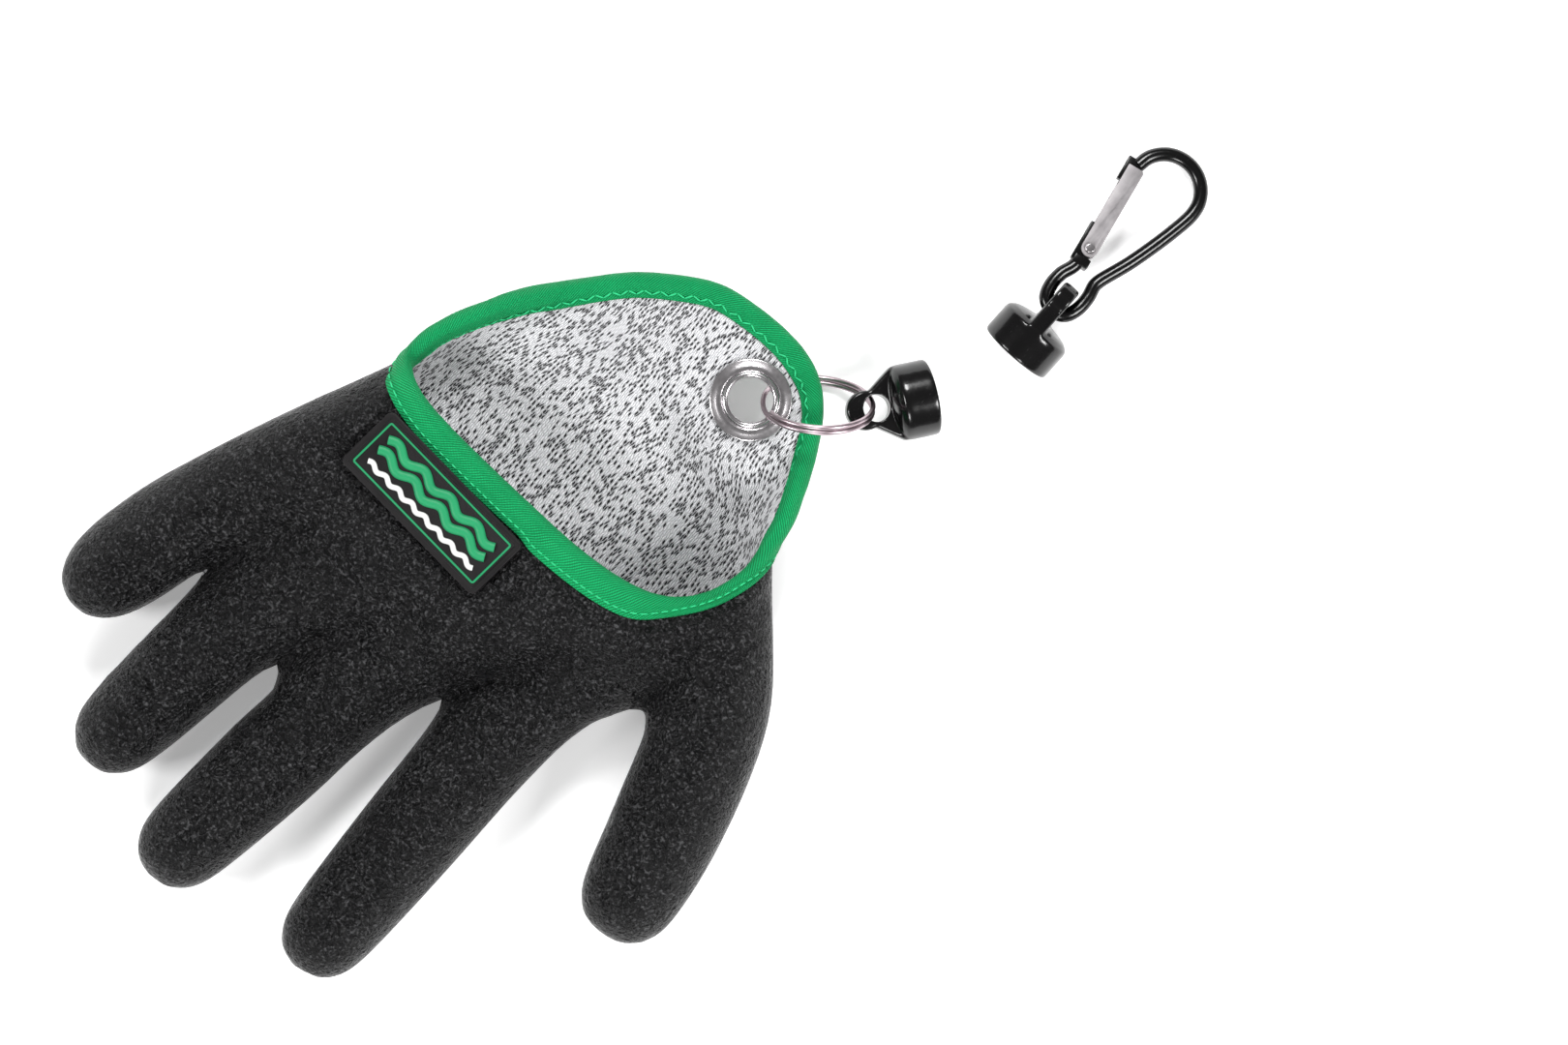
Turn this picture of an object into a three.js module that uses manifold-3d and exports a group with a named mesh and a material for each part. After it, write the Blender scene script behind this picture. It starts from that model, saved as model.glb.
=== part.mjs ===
import * as THREE from 'three';
import { mergeVertices } from 'three/addons/utils/BufferGeometryUtils.js';
import Module from 'manifold-3d';

// A fishing glove that lies palm side up, in millimetres. +Z is up, the fingers point towards -Y
// and the thumb lies at +X. The cuff is cut away: its lower wall runs on as a flap with an eyelet,
// a split ring, a two-part magnetic clip and a small carabiner.

// Glove
const PALM_WIDTH = 112;
const PALM_LENGTH = 66;
const FLAP_LENGTH = 86;
const PALM_THICKNESS = 37;
const FINGER_WIDTH = 30;
const FINGER_LENGTH = 77;
const FINGER_THICKNESS = 25;
const THUMB_LENGTH = 87;
const THUMB_WIDTH = 34;
const THUMB_THICKNESS = 27;
const COAT_WALL = 1.2;
const LINER_WALL = 1.1;

// Binding and patch
const BINDING_WALL = 1.0;
const BINDING_LEG = 5.6;
const PATCH_LENGTH = 51;
const PATCH_WIDTH = 19.5;
const PATCH_THICKNESS = 2.6;
const PATCH_TURN = THREE.MathUtils.degToRad(-4);

// Eyelet and split ring
const EYELET_HOLE = 12;
const EYELET_FLANGE = 22.4;
const EYELET_WALL = 0.7;
const WASHER_WALL = 0.8;
const RING_DIAMETER = 31;
const RING_WIRE = 1.4;
const RING_LEAN = THREE.MathUtils.degToRad(62);
const RING_HEADING = THREE.MathUtils.degToRad(37.5);

// Magnetic clip halves
const CLIP_DIAMETER = 21;
const CLIP_LENGTH = 24;
const CLIP_BASE = 9.5;
const CLIP_EYE_WIDTH = 10.8;
const CLIP_BLADE = 5;
const CLIP_HOLE = 8;
const CLIP_HOLE_INSET = 2.9;
const CLIP_TILT = THREE.MathUtils.degToRad(10);
const NEAR_CLIP_HEADING = THREE.MathUtils.degToRad(54);

// Carabiner
const ROD = 3.9;
const CARABINER_LENGTH = 59.5;
const CARABINER_WIDTH = 23.6;
const GATE_WIDTH = 4.7;
const GATE_WALL = 0.7;
const TONGUE = 2.6;
const RIVET = 1.6;

// Clearances
const FIT = 0.3;
const BINDING_FIT = 0.4;
const CLIP_APART = 15;
const CLIP_ASIDE = 11;

// Mesh resolution
const FINGER_COLUMNS = 5;
const WEB_ROWS = 2;
const FLAP_ROWS = 7;
const TIP_ROWS = 3;

const PALM_COLUMNS = 4 * FINGER_COLUMNS;
const THUMB_END = WEB_ROWS + FINGER_COLUMNS;
const PALM_ROWS = THUMB_END + 1;
const WALL = COAT_WALL + FIT + LINER_WALL;

// Outlines. across is a share of the palm width; along is a share of the palm length towards the
// fingers (negative) or of the flap length towards the eyelet (positive); rise is a share of the
// palm thickness.
const ROOTS = [
  { across: -0.808, along: -0.879, rise: 0.30 },
  { across: -0.562, along: -1.000, rise: 0.29 },
  { across: -0.286, along: -1.106, rise: 0.29 },
  { across: 0.071, along: -0.742, rise: 0.30 },
  { across: 0.366, along: -0.636, rise: 0.31 },
];
const LITTLE_EDGE = [
  { across: -0.808, along: -0.879, rise: 0.30 },
  { across: -0.750, along: -0.606, rise: 0.36 },
  { across: -0.679, along: -0.303, rise: 0.42 },
  { across: -0.600, along: 0.000, rise: 0.46 },
  { across: -0.545, along: 0.163, rise: 0.52 },
];
const INDEX_EDGE = [
  { across: 0.366, along: -0.636, rise: 0.31 },
  { across: 0.370, along: -0.500, rise: 0.32 },
  { across: 0.380, along: -0.390, rise: 0.33 },
  { across: 0.425, along: -0.290, rise: 0.36 },
];
const THUMB_ROOT = [
  { across: 0.425, along: -0.290, rise: 0.36 },
  { across: 0.452, along: -0.100, rise: 0.46 },
  { across: 0.470, along: 0.090, rise: 0.51 },
  { across: 0.477, along: 0.250, rise: 0.54 },
  { across: 0.482, along: 0.407, rise: 0.57 },
];
const CUFF_SIDE = [
  { across: 0.482, along: 0.407, rise: 0.57 },
  { across: 0.424, along: 0.477, rise: 0.62 },
];
const NEAR_RIM = [
  { across: -0.545, along: 0.163, rise: 0.52 },
  { across: -0.505, along: 0.112, rise: 0.70 },
  { across: -0.420, along: 0.078, rise: 0.81 },
  { across: -0.250, along: 0.060, rise: 0.88 },
  { across: 0.000, along: 0.052, rise: 0.93 },
  { across: 0.150, along: 0.060, rise: 0.93 },
  { across: 0.260, along: 0.088, rise: 0.92 },
  { across: 0.350, along: 0.150, rise: 0.90 },
  { across: 0.400, along: 0.255, rise: 0.84 },
  { across: 0.422, along: 0.370, rise: 0.74 },
  { across: 0.424, along: 0.477, rise: 0.62 },
];
const FLAP_LEFT = [
  { across: -0.545, along: 0.163 },
  { across: -0.545, along: 0.250 },
  { across: -0.503, along: 0.372 },
  { across: -0.433, along: 0.547 },
  { across: -0.346, along: 0.683 },
  { across: -0.302, along: 0.744 },
];
const FLAP_TOP = [
  { across: -0.302, along: 0.744 },
  { across: -0.257, along: 0.809 },
  { across: -0.170, along: 0.895 },
  { across: -0.086, along: 0.958 },
  { across: 0.000, along: 0.979 },
  { across: 0.089, along: 0.985 },
  { across: 0.173, along: 0.973 },
  { across: 0.240, along: 0.936 },
  { across: 0.272, along: 0.899 },
];
const FLAP_RIGHT = [
  { across: 0.424, along: 0.477 },
  { across: 0.418, along: 0.540 },
  { across: 0.400, along: 0.610 },
  { across: 0.361, along: 0.723 },
  { across: 0.299, along: 0.860 },
  { across: 0.272, along: 0.899 },
];

// Fingers from the little finger to the index. length is a share of FINGER_LENGTH, width of
// FINGER_WIDTH, lift (how far the tip curls up) of FINGER_THICKNESS; lean is in degrees.
const FINGERS = [
  { name: 'little', length: 0.46, width: 0.96, lean: 12.5, lift: 0.22 },
  { name: 'ring', length: 0.735, width: 0.96, lean: 5.2, lift: 0.16 },
  { name: 'middle', length: 1.000, width: 1.00, lean: 5.6, lift: 0.12 },
  { name: 'index', length: 1.095, width: 1.00, lean: -1.6, lift: 0.18 },
];
// Width of a finger along its length, as a share of its full width.
const FINGER_TAPER = [
  { along: 0.22, width: 1.03 },
  { along: 0.45, width: 1.00 },
  { along: 0.70, width: 0.93 },
  { along: 0.84, width: 0.88 },
];
// Thumb stations: across and along are shares of THUMB_LENGTH from the middle of the thumb's
// root, turn is the heading in degrees from -Y towards +X, width and depth are shares of
// THUMB_WIDTH and THUMB_THICKNESS, rise is the middle height as a share of PALM_THICKNESS.
const THUMB_STATIONS = [
  { across: 0.133, along: -0.110, turn: 50, width: 1.12, depth: 1.08, rise: 0.56 },
  { across: 0.201, along: -0.225, turn: 30, width: 0.98, depth: 1.05, rise: 0.58 },
  { across: 0.253, along: -0.385, turn: 17, width: 0.97, depth: 1.00, rise: 0.57 },
  { across: 0.306, along: -0.560, turn: 14, width: 0.93, depth: 0.96, rise: 0.54 },
  { across: 0.341, along: -0.720, turn: 13, width: 0.86, depth: 0.92, rise: 0.51 },
];
const THUMB_TIP = 0.40;

// Soft dents of the upper wall: place and radius as shares of the palm width, depth as a share of
// the palm thickness.
const DENTS = [
  { across: 0.430, along: -0.170, radius: 0.060, depth: 0.16 },
  { across: 0.330, along: -0.330, radius: 0.075, depth: 0.06 },
  { across: -0.040, along: -0.450, radius: 0.120, depth: 0.05 },
  { across: -0.300, along: -0.600, radius: 0.110, depth: 0.06 },
  { across: 0.250, along: -0.120, radius: 0.090, depth: 0.04 },
];

const wasm = await Module();
wasm.setup();

const lerp = THREE.MathUtils.lerp;
const clamp01 = (value) => THREE.MathUtils.clamp(value, 0, 1);
const smooth = (value) => THREE.MathUtils.smoothstep(value, 0, 1);

// Point of a table row in millimetres.
function place({ across, along, rise = 0 }) {
  const reach = along < 0 ? PALM_LENGTH : FLAP_LENGTH;
  return new THREE.Vector3(across * PALM_WIDTH, along * reach, rise * PALM_THICKNESS);
}

// Evenly spaced points on a smooth curve through a table's rows.
function along(table, intervals) {
  const curve = new THREE.CatmullRomCurve3(table.map(place), false, 'centripetal');
  return Array.from({ length: intervals + 1 }, (_, k) => curve.getPointAt(k / intervals));
}

// Half section of a soft tube: 0 at the sides, 1 over the flattened middle.
function arch(side, power, spread = 1) {
  const reach = Math.min(1, Math.abs(side));
  return Math.min(1, spread * Math.pow(1 - Math.pow(reach, power), 1 / power));
}
const UPPER_POWER = 2.15;
const LOWER_POWER = 2.6;
const LOWER_SPREAD = 1.08;
const ringSide = (k) => -Math.cos((Math.PI * k) / FINGER_COLUMNS);

// Split ring: it leans on the flap, with its lowest point on the ground.
const ringRadius = (RING_DIAMETER - RING_WIRE) / 2;
const ringPitch = RING_WIRE + FIT / 2;
const ringHeight = ringRadius * Math.sin(RING_LEAN) + (RING_WIRE + ringPitch) / 2;

// Eyelet: its seat on the flap is level, and the ring passes its hole at mid wall.
const eyelet = place({ across: 0.148, along: 0.763 });
const seatHeight = ringHeight - WALL / 2;
const SEAT_RADIUS = EYELET_FLANGE / 2 + 4;
const SEAT_BLEND = 10;

// Patch: its seat on the upper wall is a plane that rises towards the thumb.
const patch = place({ across: -0.250, along: -0.170, rise: 0.845 });
const PATCH_SLOPE = 0.075;
const PATCH_BLEND = 7;

// Skin: the outer face of the glove as a mesh of shared points.
const skin = { points: [], index: new Map(), quads: [], normals: [] };

function put(key, point) {
  if (!skin.index.has(key)) {
    skin.index.set(key, skin.points.length);
    skin.points.push(point.clone());
  }
  return skin.index.get(key);
}

const onRoot = (c, r) => r === 0 && c % FINGER_COLUMNS === 0;
const onSideSeam = (c, r) => c === 0 && r <= PALM_ROWS;
const inThumb = (r) => r > WEB_ROWS && r < THUMB_END;
const onThumbSeam = (c, r) => c === PALM_COLUMNS && r <= PALM_ROWS && !inThumb(r);
const shared = (c, r) => onRoot(c, r) || onSideSeam(c, r) || onThumbSeam(c, r);
const upperKey = (c, r) => (shared(c, r) ? `seam ${c} ${r}` : `upper ${c} ${r}`);
const lowerKey = (c, r) => (shared(c, r) ? `seam ${c} ${r}` : `lower ${c} ${r}`);

// A patch of points between four edge curves.
function patchPoint(edges, c, columns, r, rows, share) {
  const u = share ?? c / columns;
  const v = r / rows;
  const point = new THREE.Vector3();
  point.addScaledVector(edges.bottom[c], 1 - v);
  point.addScaledVector(edges.top[c], v);
  point.addScaledVector(edges.left[r], 1 - u);
  point.addScaledVector(edges.right[r], u);
  point.addScaledVector(edges.bottom[0], -(1 - u) * (1 - v));
  point.addScaledVector(edges.bottom[columns], -u * (1 - v));
  point.addScaledVector(edges.top[0], -(1 - u) * v);
  point.addScaledVector(edges.top[columns], -u * v);
  return point;
}

// Height of the palm's seam over the whole sheet, and the shape of the tubes at the finger roots.
const leftSeam = along(LITTLE_EDGE, PALM_ROWS);
const rightSeam = [
  ...along(INDEX_EDGE, WEB_ROWS),
  ...along(THUMB_ROOT, FINGER_COLUMNS).slice(1),
  ...along(CUFF_SIDE, 1).slice(1),
];
const roots = ROOTS.map(place);
const nearRim = along(NEAR_RIM, PALM_COLUMNS);

function rootPoint(c) {
  const finger = Math.min(3, Math.floor(c / FINGER_COLUMNS));
  const side = ringSide(c - finger * FINGER_COLUMNS);
  return roots[finger].clone().lerp(roots[finger + 1], (side + 1) / 2);
}
const rootLine = Array.from({ length: PALM_COLUMNS + 1 }, (_, c) => rootPoint(c));

// Where the lower wall leaves the mouth: a line between the two rim corners.
const hinge = nearRim.map((_, c) => {
  const share = c / PALM_COLUMNS;
  return leftSeam[PALM_ROWS].clone().lerp(rightSeam[PALM_ROWS], share);
});

// Top and bottom of the skin at a seam: they part only where the thumb grows from the palm.
const THUMB_ROOT_SHARE = 0.95;
function sideHeights(seam, r, thumb) {
  const middle = seam[r].z;
  if (!thumb || !inThumb(r)) {
    return { top: middle, bottom: middle };
  }
  const half = THUMB_ROOT_SHARE * THUMB_THICKNESS / 2;
  const side = ringSide(r - WEB_ROWS);
  return {
    top: middle + half * arch(side, UPPER_POWER),
    bottom: Math.max(0.12 * PALM_THICKNESS, middle - half * arch(side, LOWER_POWER)),
  };
}

function fingerArch(c, r) {
  const finger = Math.min(3, Math.floor(c / FINGER_COLUMNS));
  return ringSide(c - finger * FINGER_COLUMNS);
}

const VALLEY_REACH = 0.80;
const valleyShare = (v) => Math.pow(clamp01(1 - v / VALLEY_REACH), 1.35);

function seatWeight(x, y) {
  const distance = Math.hypot(x - eyelet.x, y - eyelet.y);
  return 1 - smooth((distance - SEAT_RADIUS) / SEAT_BLEND);
}

function patchPlane(x, y) {
  return patch.z + (x - patch.x) * PATCH_SLOPE;
}

function patchWeight(x, y) {
  const dx = x - patch.x;
  const dy = y - patch.y;
  const alongPatch = Math.abs(dx * Math.cos(PATCH_TURN) + dy * Math.sin(PATCH_TURN));
  const acrossPatch = Math.abs(-dx * Math.sin(PATCH_TURN) + dy * Math.cos(PATCH_TURN));
  const beyond = Math.hypot(
    Math.max(0, alongPatch - PATCH_LENGTH / 2 - 1),
    Math.max(0, acrossPatch - PATCH_WIDTH / 2 - 4.5),
  );
  return 1 - smooth(beyond / PATCH_BLEND);
}

function dentDepth(x, y) {
  let depth = 0;
  for (const dent of DENTS) {
    const centre = place(dent);
    const distance = Math.hypot(x - centre.x, y - centre.y) / (dent.radius * PALM_WIDTH);
    depth += dent.depth * PALM_THICKNESS * Math.exp(-distance * distance);
  }
  return depth;
}

// Upper wall of the palm.
const palmEdges = { bottom: rootLine, top: nearRim, left: leftSeam, right: rightSeam };
for (let r = 0; r <= PALM_ROWS; r += 1) {
  const v = r / PALM_ROWS;
  const left = sideHeights(leftSeam, r, false);
  const right = sideHeights(rightSeam, r, true);
  for (let c = 0; c <= PALM_COLUMNS; c += 1) {
    const share = c / PALM_COLUMNS;
    const point = patchPoint(palmEdges, c, PALM_COLUMNS, r, PALM_ROWS);
    const seam = lerp(leftSeam[r].z, rightSeam[r].z, share);
    const edge = share < 0.5 ? left.top : right.top;
    const full = lerp(FINGER_THICKNESS, PALM_THICKNESS, smooth(v / 0.65));
    const palmTop = edge + (full - edge) * arch(2 * share - 1, 2.7);
    const tube = seam + (FINGER_THICKNESS - seam) * arch(fingerArch(c, r), UPPER_POWER);
    const rounded = lerp(palmTop, tube, valleyShare(v));
    const settle = lerp(0.55, 0.86, smooth((share - 0.55) / 0.35));
    point.z = lerp(rounded, nearRim[c].z, smooth((v - settle) / (1 - settle)));
    if (c === 0) {
      point.z = left.top;
    } else if (c === PALM_COLUMNS) {
      point.z = right.top;
    } else if (r > 0) {
      const weight = patchWeight(point.x, point.y);
      point.z = lerp(point.z - dentDepth(point.x, point.y), patchPlane(point.x, point.y), weight);
    }
    put(upperKey(c, r), point);
  }
}

// Lower wall of the palm.
const floorEdges = { bottom: rootLine, top: hinge, left: leftSeam, right: rightSeam };
const palmFloor = (edge, share) => edge * (1 - arch(2 * share - 1, 3.6, 1.05));
for (let r = 0; r <= PALM_ROWS; r += 1) {
  const v = r / PALM_ROWS;
  const left = sideHeights(leftSeam, r, false);
  const right = sideHeights(rightSeam, r, true);
  for (let c = 0; c <= PALM_COLUMNS; c += 1) {
    const share = c / PALM_COLUMNS;
    const point = patchPoint(floorEdges, c, PALM_COLUMNS, r, PALM_ROWS);
    const seam = lerp(leftSeam[r].z, rightSeam[r].z, share);
    const edge = share < 0.5 ? left.bottom : right.bottom;
    const tube = seam * (1 - arch(fingerArch(c, r), LOWER_POWER, LOWER_SPREAD));
    point.z = lerp(palmFloor(edge, share), tube, valleyShare(v));
    if (c === 0) {
      point.z = left.bottom;
    } else if (c === PALM_COLUMNS) {
      point.z = right.bottom;
    }
    put(lowerKey(c, r), point);
  }
}

// Flap: the lower wall beyond the mouth, curling up at its sides and level round the eyelet.
const flapEdges = {
  bottom: hinge,
  top: along(FLAP_TOP, PALM_COLUMNS),
  left: along(FLAP_LEFT, FLAP_ROWS),
  right: along(FLAP_RIGHT, FLAP_ROWS),
};
for (let r = 1; r <= FLAP_ROWS; r += 1) {
  const v = r / FLAP_ROWS;
  for (let c = 0; c <= PALM_COLUMNS; c += 1) {
    const share = c / PALM_COLUMNS;
    const point = patchPoint(flapEdges, c, PALM_COLUMNS, r, FLAP_ROWS);
    const corner = share < 0.5 ? leftSeam[PALM_ROWS].z : rightSeam[PALM_ROWS].z;
    const side = lerp(corner, seatHeight, smooth(v / 0.9));
    const middle = seatHeight * smooth(v / 0.8);
    const curl = 1 - arch(2 * share - 1, 2.8, 1.02);
    point.z = lerp(middle, side, curl);
    point.z = lerp(point.z, seatHeight, seatWeight(point.x, point.y));
    put(lowerKey(c, PALM_ROWS + r), point);
  }
}

// Quads of the palm and the flap, faces outwards.
for (let r = 0; r < PALM_ROWS; r += 1) {
  for (let c = 0; c < PALM_COLUMNS; c += 1) {
    const corners = [[c, r], [c + 1, r], [c + 1, r + 1], [c, r + 1]];
    skin.quads.push(corners.map(([i, j]) => skin.index.get(upperKey(i, j))));
  }
}
for (let r = 0; r < PALM_ROWS + FLAP_ROWS; r += 1) {
  for (let c = 0; c < PALM_COLUMNS; c += 1) {
    const corners = [[c, r], [c, r + 1], [c + 1, r + 1], [c + 1, r]];
    skin.quads.push(corners.map(([i, j]) => skin.index.get(lowerKey(i, j))));
  }
}

// One closed ring of points round a finger or the thumb.
function tubeRing(name, row, section) {
  const ids = [];
  const count = 2 * FINGER_COLUMNS;
  for (let k = 0; k < count; k += 1) {
    const above = k <= FINGER_COLUMNS;
    const side = ringSide(above ? k : count - k);
    const swell = above ? arch(side, UPPER_POWER) : -arch(side, LOWER_POWER, LOWER_SPREAD);
    const half = above ? section.up : section.down;
    const point = section.centre.clone().addScaledVector(section.across, side * section.half);
    point.z += swell * half;
    ids.push(put(`${name} ${row} ${k}`, point));
  }
  return ids;
}

// Joins the rings of a tube and closes it at its tip.
function joinTube(rings, tip) {
  for (let k = 0; k + 1 < rings.length; k += 1) {
    rings[k].forEach((id, i) => {
      const next = (i + 1) % rings[k].length;
      skin.quads.push([id, rings[k + 1][i], rings[k + 1][next], rings[k][next]]);
    });
  }
  const last = rings[rings.length - 1];
  last.forEach((id, i) => skin.quads.push([id, tip, last[(i + 1) % last.length]]));
}

const fingerWidthAt = (share) => {
  const rows = FINGER_TAPER;
  if (share <= rows[0].along) {
    return rows[0].width;
  }
  for (let k = 1; k < rows.length; k += 1) {
    if (share <= rows[k].along) {
      const step = (share - rows[k - 1].along) / (rows[k].along - rows[k - 1].along);
      return lerp(rows[k - 1].width, rows[k].width, step);
    }
  }
  return rows[rows.length - 1].width;
};

// Fingers: each grows from its root ring along its own lean and curls up a little at the tip.
FINGERS.forEach((finger, f) => {
  const first = f * FINGER_COLUMNS;
  const root = [];
  for (let k = 0; k < 2 * FINGER_COLUMNS; k += 1) {
    const above = k <= FINGER_COLUMNS;
    const c = above ? first + k : first + 2 * FINGER_COLUMNS - k;
    root.push(skin.index.get(above ? upperKey(c, 0) : lowerKey(c, 0)));
  }
  const lean = THREE.MathUtils.degToRad(finger.lean);
  const heading = new THREE.Vector3(-Math.sin(lean), -Math.cos(lean), 0);
  const level = new THREE.Vector3(Math.cos(lean), -Math.sin(lean), 0);
  const middle = roots[f].clone().lerp(roots[f + 1], 0.5);
  const chord = roots[f + 1].clone().sub(roots[f]).setZ(0).normalize();
  const length = finger.length * FINGER_LENGTH;
  const width = finger.width * FINGER_WIDTH;
  const thick = (share) => FINGER_THICKNESS * lerp(1, 0.86, share);
  const tipRadius = (width * FINGER_TAPER[FINGER_TAPER.length - 1].width) / 2;
  const straight = length - tipRadius;
  const steps = Math.max(2, Math.round(straight / 13));
  const rings = [root];
  const section = (distance, half, closing) => {
    const share = distance / length;
    const turn = smooth(distance / (0.45 * straight));
    const depth = thick(share) * closing;
    const lift = finger.lift * FINGER_THICKNESS * Math.pow(share, 2.2);
    const centre = middle.clone().addScaledVector(heading, distance);
    const rise = lerp(middle.z, 0.45 * thick(share), smooth(share / 0.3));
    centre.z = rise + lift;
    return {
      centre,
      across: chord.clone().lerp(level, turn).normalize(),
      half,
      up: depth * (1 - rise / thick(share)),
      down: depth * (rise / thick(share)),
    };
  };
  for (let k = 1; k <= steps; k += 1) {
    const distance = (straight * k) / steps;
    const half = (width * fingerWidthAt(distance / length)) / 2;
    rings.push(tubeRing(finger.name, k, section(distance, half, 1)));
  }
  for (let k = 1; k < TIP_ROWS; k += 1) {
    const angle = (Math.PI / 2) * (k / TIP_ROWS) * 1.06;
    const distance = straight + tipRadius * Math.sin(angle);
    const cut = Math.pow(Math.cos(angle), 0.9);
    rings.push(tubeRing(finger.name, steps + k, section(distance, tipRadius * cut, cut)));
  }
  const end = section(length, 0, 0).centre;
  joinTube(rings, put(`${finger.name} tip`, end));
});

// Thumb: it grows from the side of the palm and stands a little above the ground.
{
  const root = [];
  for (let k = 0; k < 2 * FINGER_COLUMNS; k += 1) {
    const above = k <= FINGER_COLUMNS;
    const r = above ? WEB_ROWS + k : WEB_ROWS + 2 * FINGER_COLUMNS - k;
    const key = above ? upperKey(PALM_COLUMNS, r) : lowerKey(PALM_COLUMNS, r);
    root.push(skin.index.get(key));
  }
  const base = rightSeam[WEB_ROWS].clone().lerp(rightSeam[THUMB_END], 0.5);
  const rings = [root];
  const section = (station, distance, closing) => {
    const turn = THREE.MathUtils.degToRad(station.turn);
    const heading = new THREE.Vector3(Math.sin(turn), -Math.cos(turn), 0);
    const centre = base.clone();
    centre.x += station.across * THUMB_LENGTH;
    centre.y += station.along * THUMB_LENGTH;
    centre.z = station.rise * PALM_THICKNESS;
    centre.addScaledVector(heading, distance);
    const depth = (station.depth * THUMB_THICKNESS) / 2;
    return {
      centre,
      across: new THREE.Vector3(Math.cos(turn), Math.sin(turn), 0),
      half: ((station.width * THUMB_WIDTH) / 2) * closing,
      up: depth * closing,
      down: depth * closing,
    };
  };
  THUMB_STATIONS.forEach((station, k) => rings.push(tubeRing('thumb', k, section(station, 0, 1))));
  const last = THUMB_STATIONS[THUMB_STATIONS.length - 1];
  const tipLength = THUMB_TIP * THUMB_WIDTH;
  for (let k = 1; k < TIP_ROWS; k += 1) {
    const angle = (Math.PI / 2) * (k / TIP_ROWS) * 1.06;
    const cut = Math.pow(Math.cos(angle), 0.9);
    const end = section(last, tipLength * Math.sin(angle), cut);
    rings.push(tubeRing('thumb', THUMB_STATIONS.length + k, end));
  }
  joinTube(rings, put('thumb tip', section(last, tipLength, 0).centre));
}

// Triangles and averaged normals of the skin.
const skinTriangles = [];
for (const quad of skin.quads) {
  if (quad.length === 3) {
    skinTriangles.push(quad);
    continue;
  }
  const [a, b, c, d] = quad;
  const ac = skin.points[a].distanceTo(skin.points[c]);
  const bd = skin.points[b].distanceTo(skin.points[d]);
  if (ac <= bd) {
    skinTriangles.push([a, b, c], [a, c, d]);
  } else {
    skinTriangles.push([a, b, d], [b, c, d]);
  }
}

// The normals are eased towards their neighbours', so that the inner faces keep clear of each
// other where the skin turns sharply.
const NORMAL_EASING = 2;
function averagedNormals(points, triangles) {
  const geometry = new THREE.BufferGeometry();
  geometry.setFromPoints(points);
  geometry.setIndex(triangles.flat());
  geometry.computeVertexNormals();
  const attribute = geometry.getAttribute('normal');
  let normals = points.map((_, i) => new THREE.Vector3().fromBufferAttribute(attribute, i));
  for (let round = 0; round < NORMAL_EASING; round += 1) {
    const eased = normals.map((normal) => normal.clone());
    for (const triangle of triangles) {
      triangle.forEach((i, k) => eased[i].addScaledVector(normals[triangle[(k + 1) % 3]], 0.16));
    }
    normals = eased.map((normal) => normal.normalize());
  }
  return normals;
}
skin.normals = averagedNormals(skin.points, skinTriangles);

// Directed edges that bound a set of triangles.
function boundary(triangles) {
  const edges = new Map();
  for (const [a, b, c] of triangles) {
    for (const [from, to] of [[a, b], [b, c], [c, a]]) {
      edges.set(`${from} ${to}`, [from, to]);
    }
  }
  return [...edges.values()].filter(([from, to]) => !edges.has(`${to} ${from}`));
}
const rimEdges = boundary(skinTriangles);

function toGeometry(positions, triangles) {
  const geometry = new THREE.BufferGeometry();
  geometry.setAttribute('position', new THREE.Float32BufferAttribute(positions, 3));
  geometry.setIndex(triangles.flat());
  return geometry;
}

const offsetPoint = (i, depth) => skin.points[i].clone().addScaledVector(skin.normals[i], -depth);

// A closed wall between two depths below the skin.
function wall(outerDepth, innerDepth) {
  const count = skin.points.length;
  const positions = [];
  for (const depth of [outerDepth, innerDepth]) {
    for (let i = 0; i < count; i += 1) {
      positions.push(...offsetPoint(i, depth).toArray());
    }
  }
  const triangles = [];
  for (const [a, b, c] of skinTriangles) {
    triangles.push([a, b, c], [count + a, count + c, count + b]);
  }
  for (const [a, b] of rimEdges) {
    triangles.push([b, a, count + a], [b, count + a, count + b]);
  }
  return toGeometry(positions, triangles);
}

// Booleans on closed meshes.
function toSolid(geometry) {
  const bare = geometry.clone();
  bare.deleteAttribute('normal');
  bare.deleteAttribute('uv');
  const merged = mergeVertices(bare, 1e-4);
  const vertProperties = new Float32Array(merged.getAttribute('position').array);
  const triVerts = new Uint32Array(merged.getIndex().array);
  return new wasm.Manifold(new wasm.Mesh({ numProp: 3, vertProperties, triVerts }));
}

function fromSolid(solid) {
  const mesh = solid.getMesh();
  const geometry = new THREE.BufferGeometry();
  geometry.setAttribute('position', new THREE.Float32BufferAttribute(mesh.vertProperties, 3));
  geometry.setIndex(new THREE.Uint32BufferAttribute(mesh.triVerts, 1));
  return geometry;
}

const moved = (geometry, matrix) => geometry.clone().applyMatrix4(matrix);
function cutAway(geometry, cutter) {
  return fromSolid(toSolid(geometry).subtract(toSolid(cutter)));
}
const joined = (first, ...others) => {
  const solids = others.map(toSolid);
  return fromSolid(solids.reduce((sum, next) => sum.add(next), toSolid(first)));
};

function material(color, roughness, metalness) {
  return new THREE.MeshStandardMaterial({ color, roughness, metalness });
}
const LATEX = material(0x1b1b1c, 0.62, 0);
const KNIT = material(0xb4b4b4, 0.9, 0);
const WOVEN = material(0x12a35f, 0.7, 0);
const MOULDED = material(0x151515, 0.55, 0);
const STEEL = material(0xa09aa0, 0.25, 1);
const NICKEL = material(0xb3a6ad, 0.22, 1);
const GLOSSY = material(0x0c0c0d, 0.22, 0);
const ENAMEL = material(0x0a0a0a, 0.18, 0.2);
const ALUMINIUM = material(0x9b979b, 0.38, 1);

const glove = new THREE.Group();
const hardware = new THREE.Group();

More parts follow.
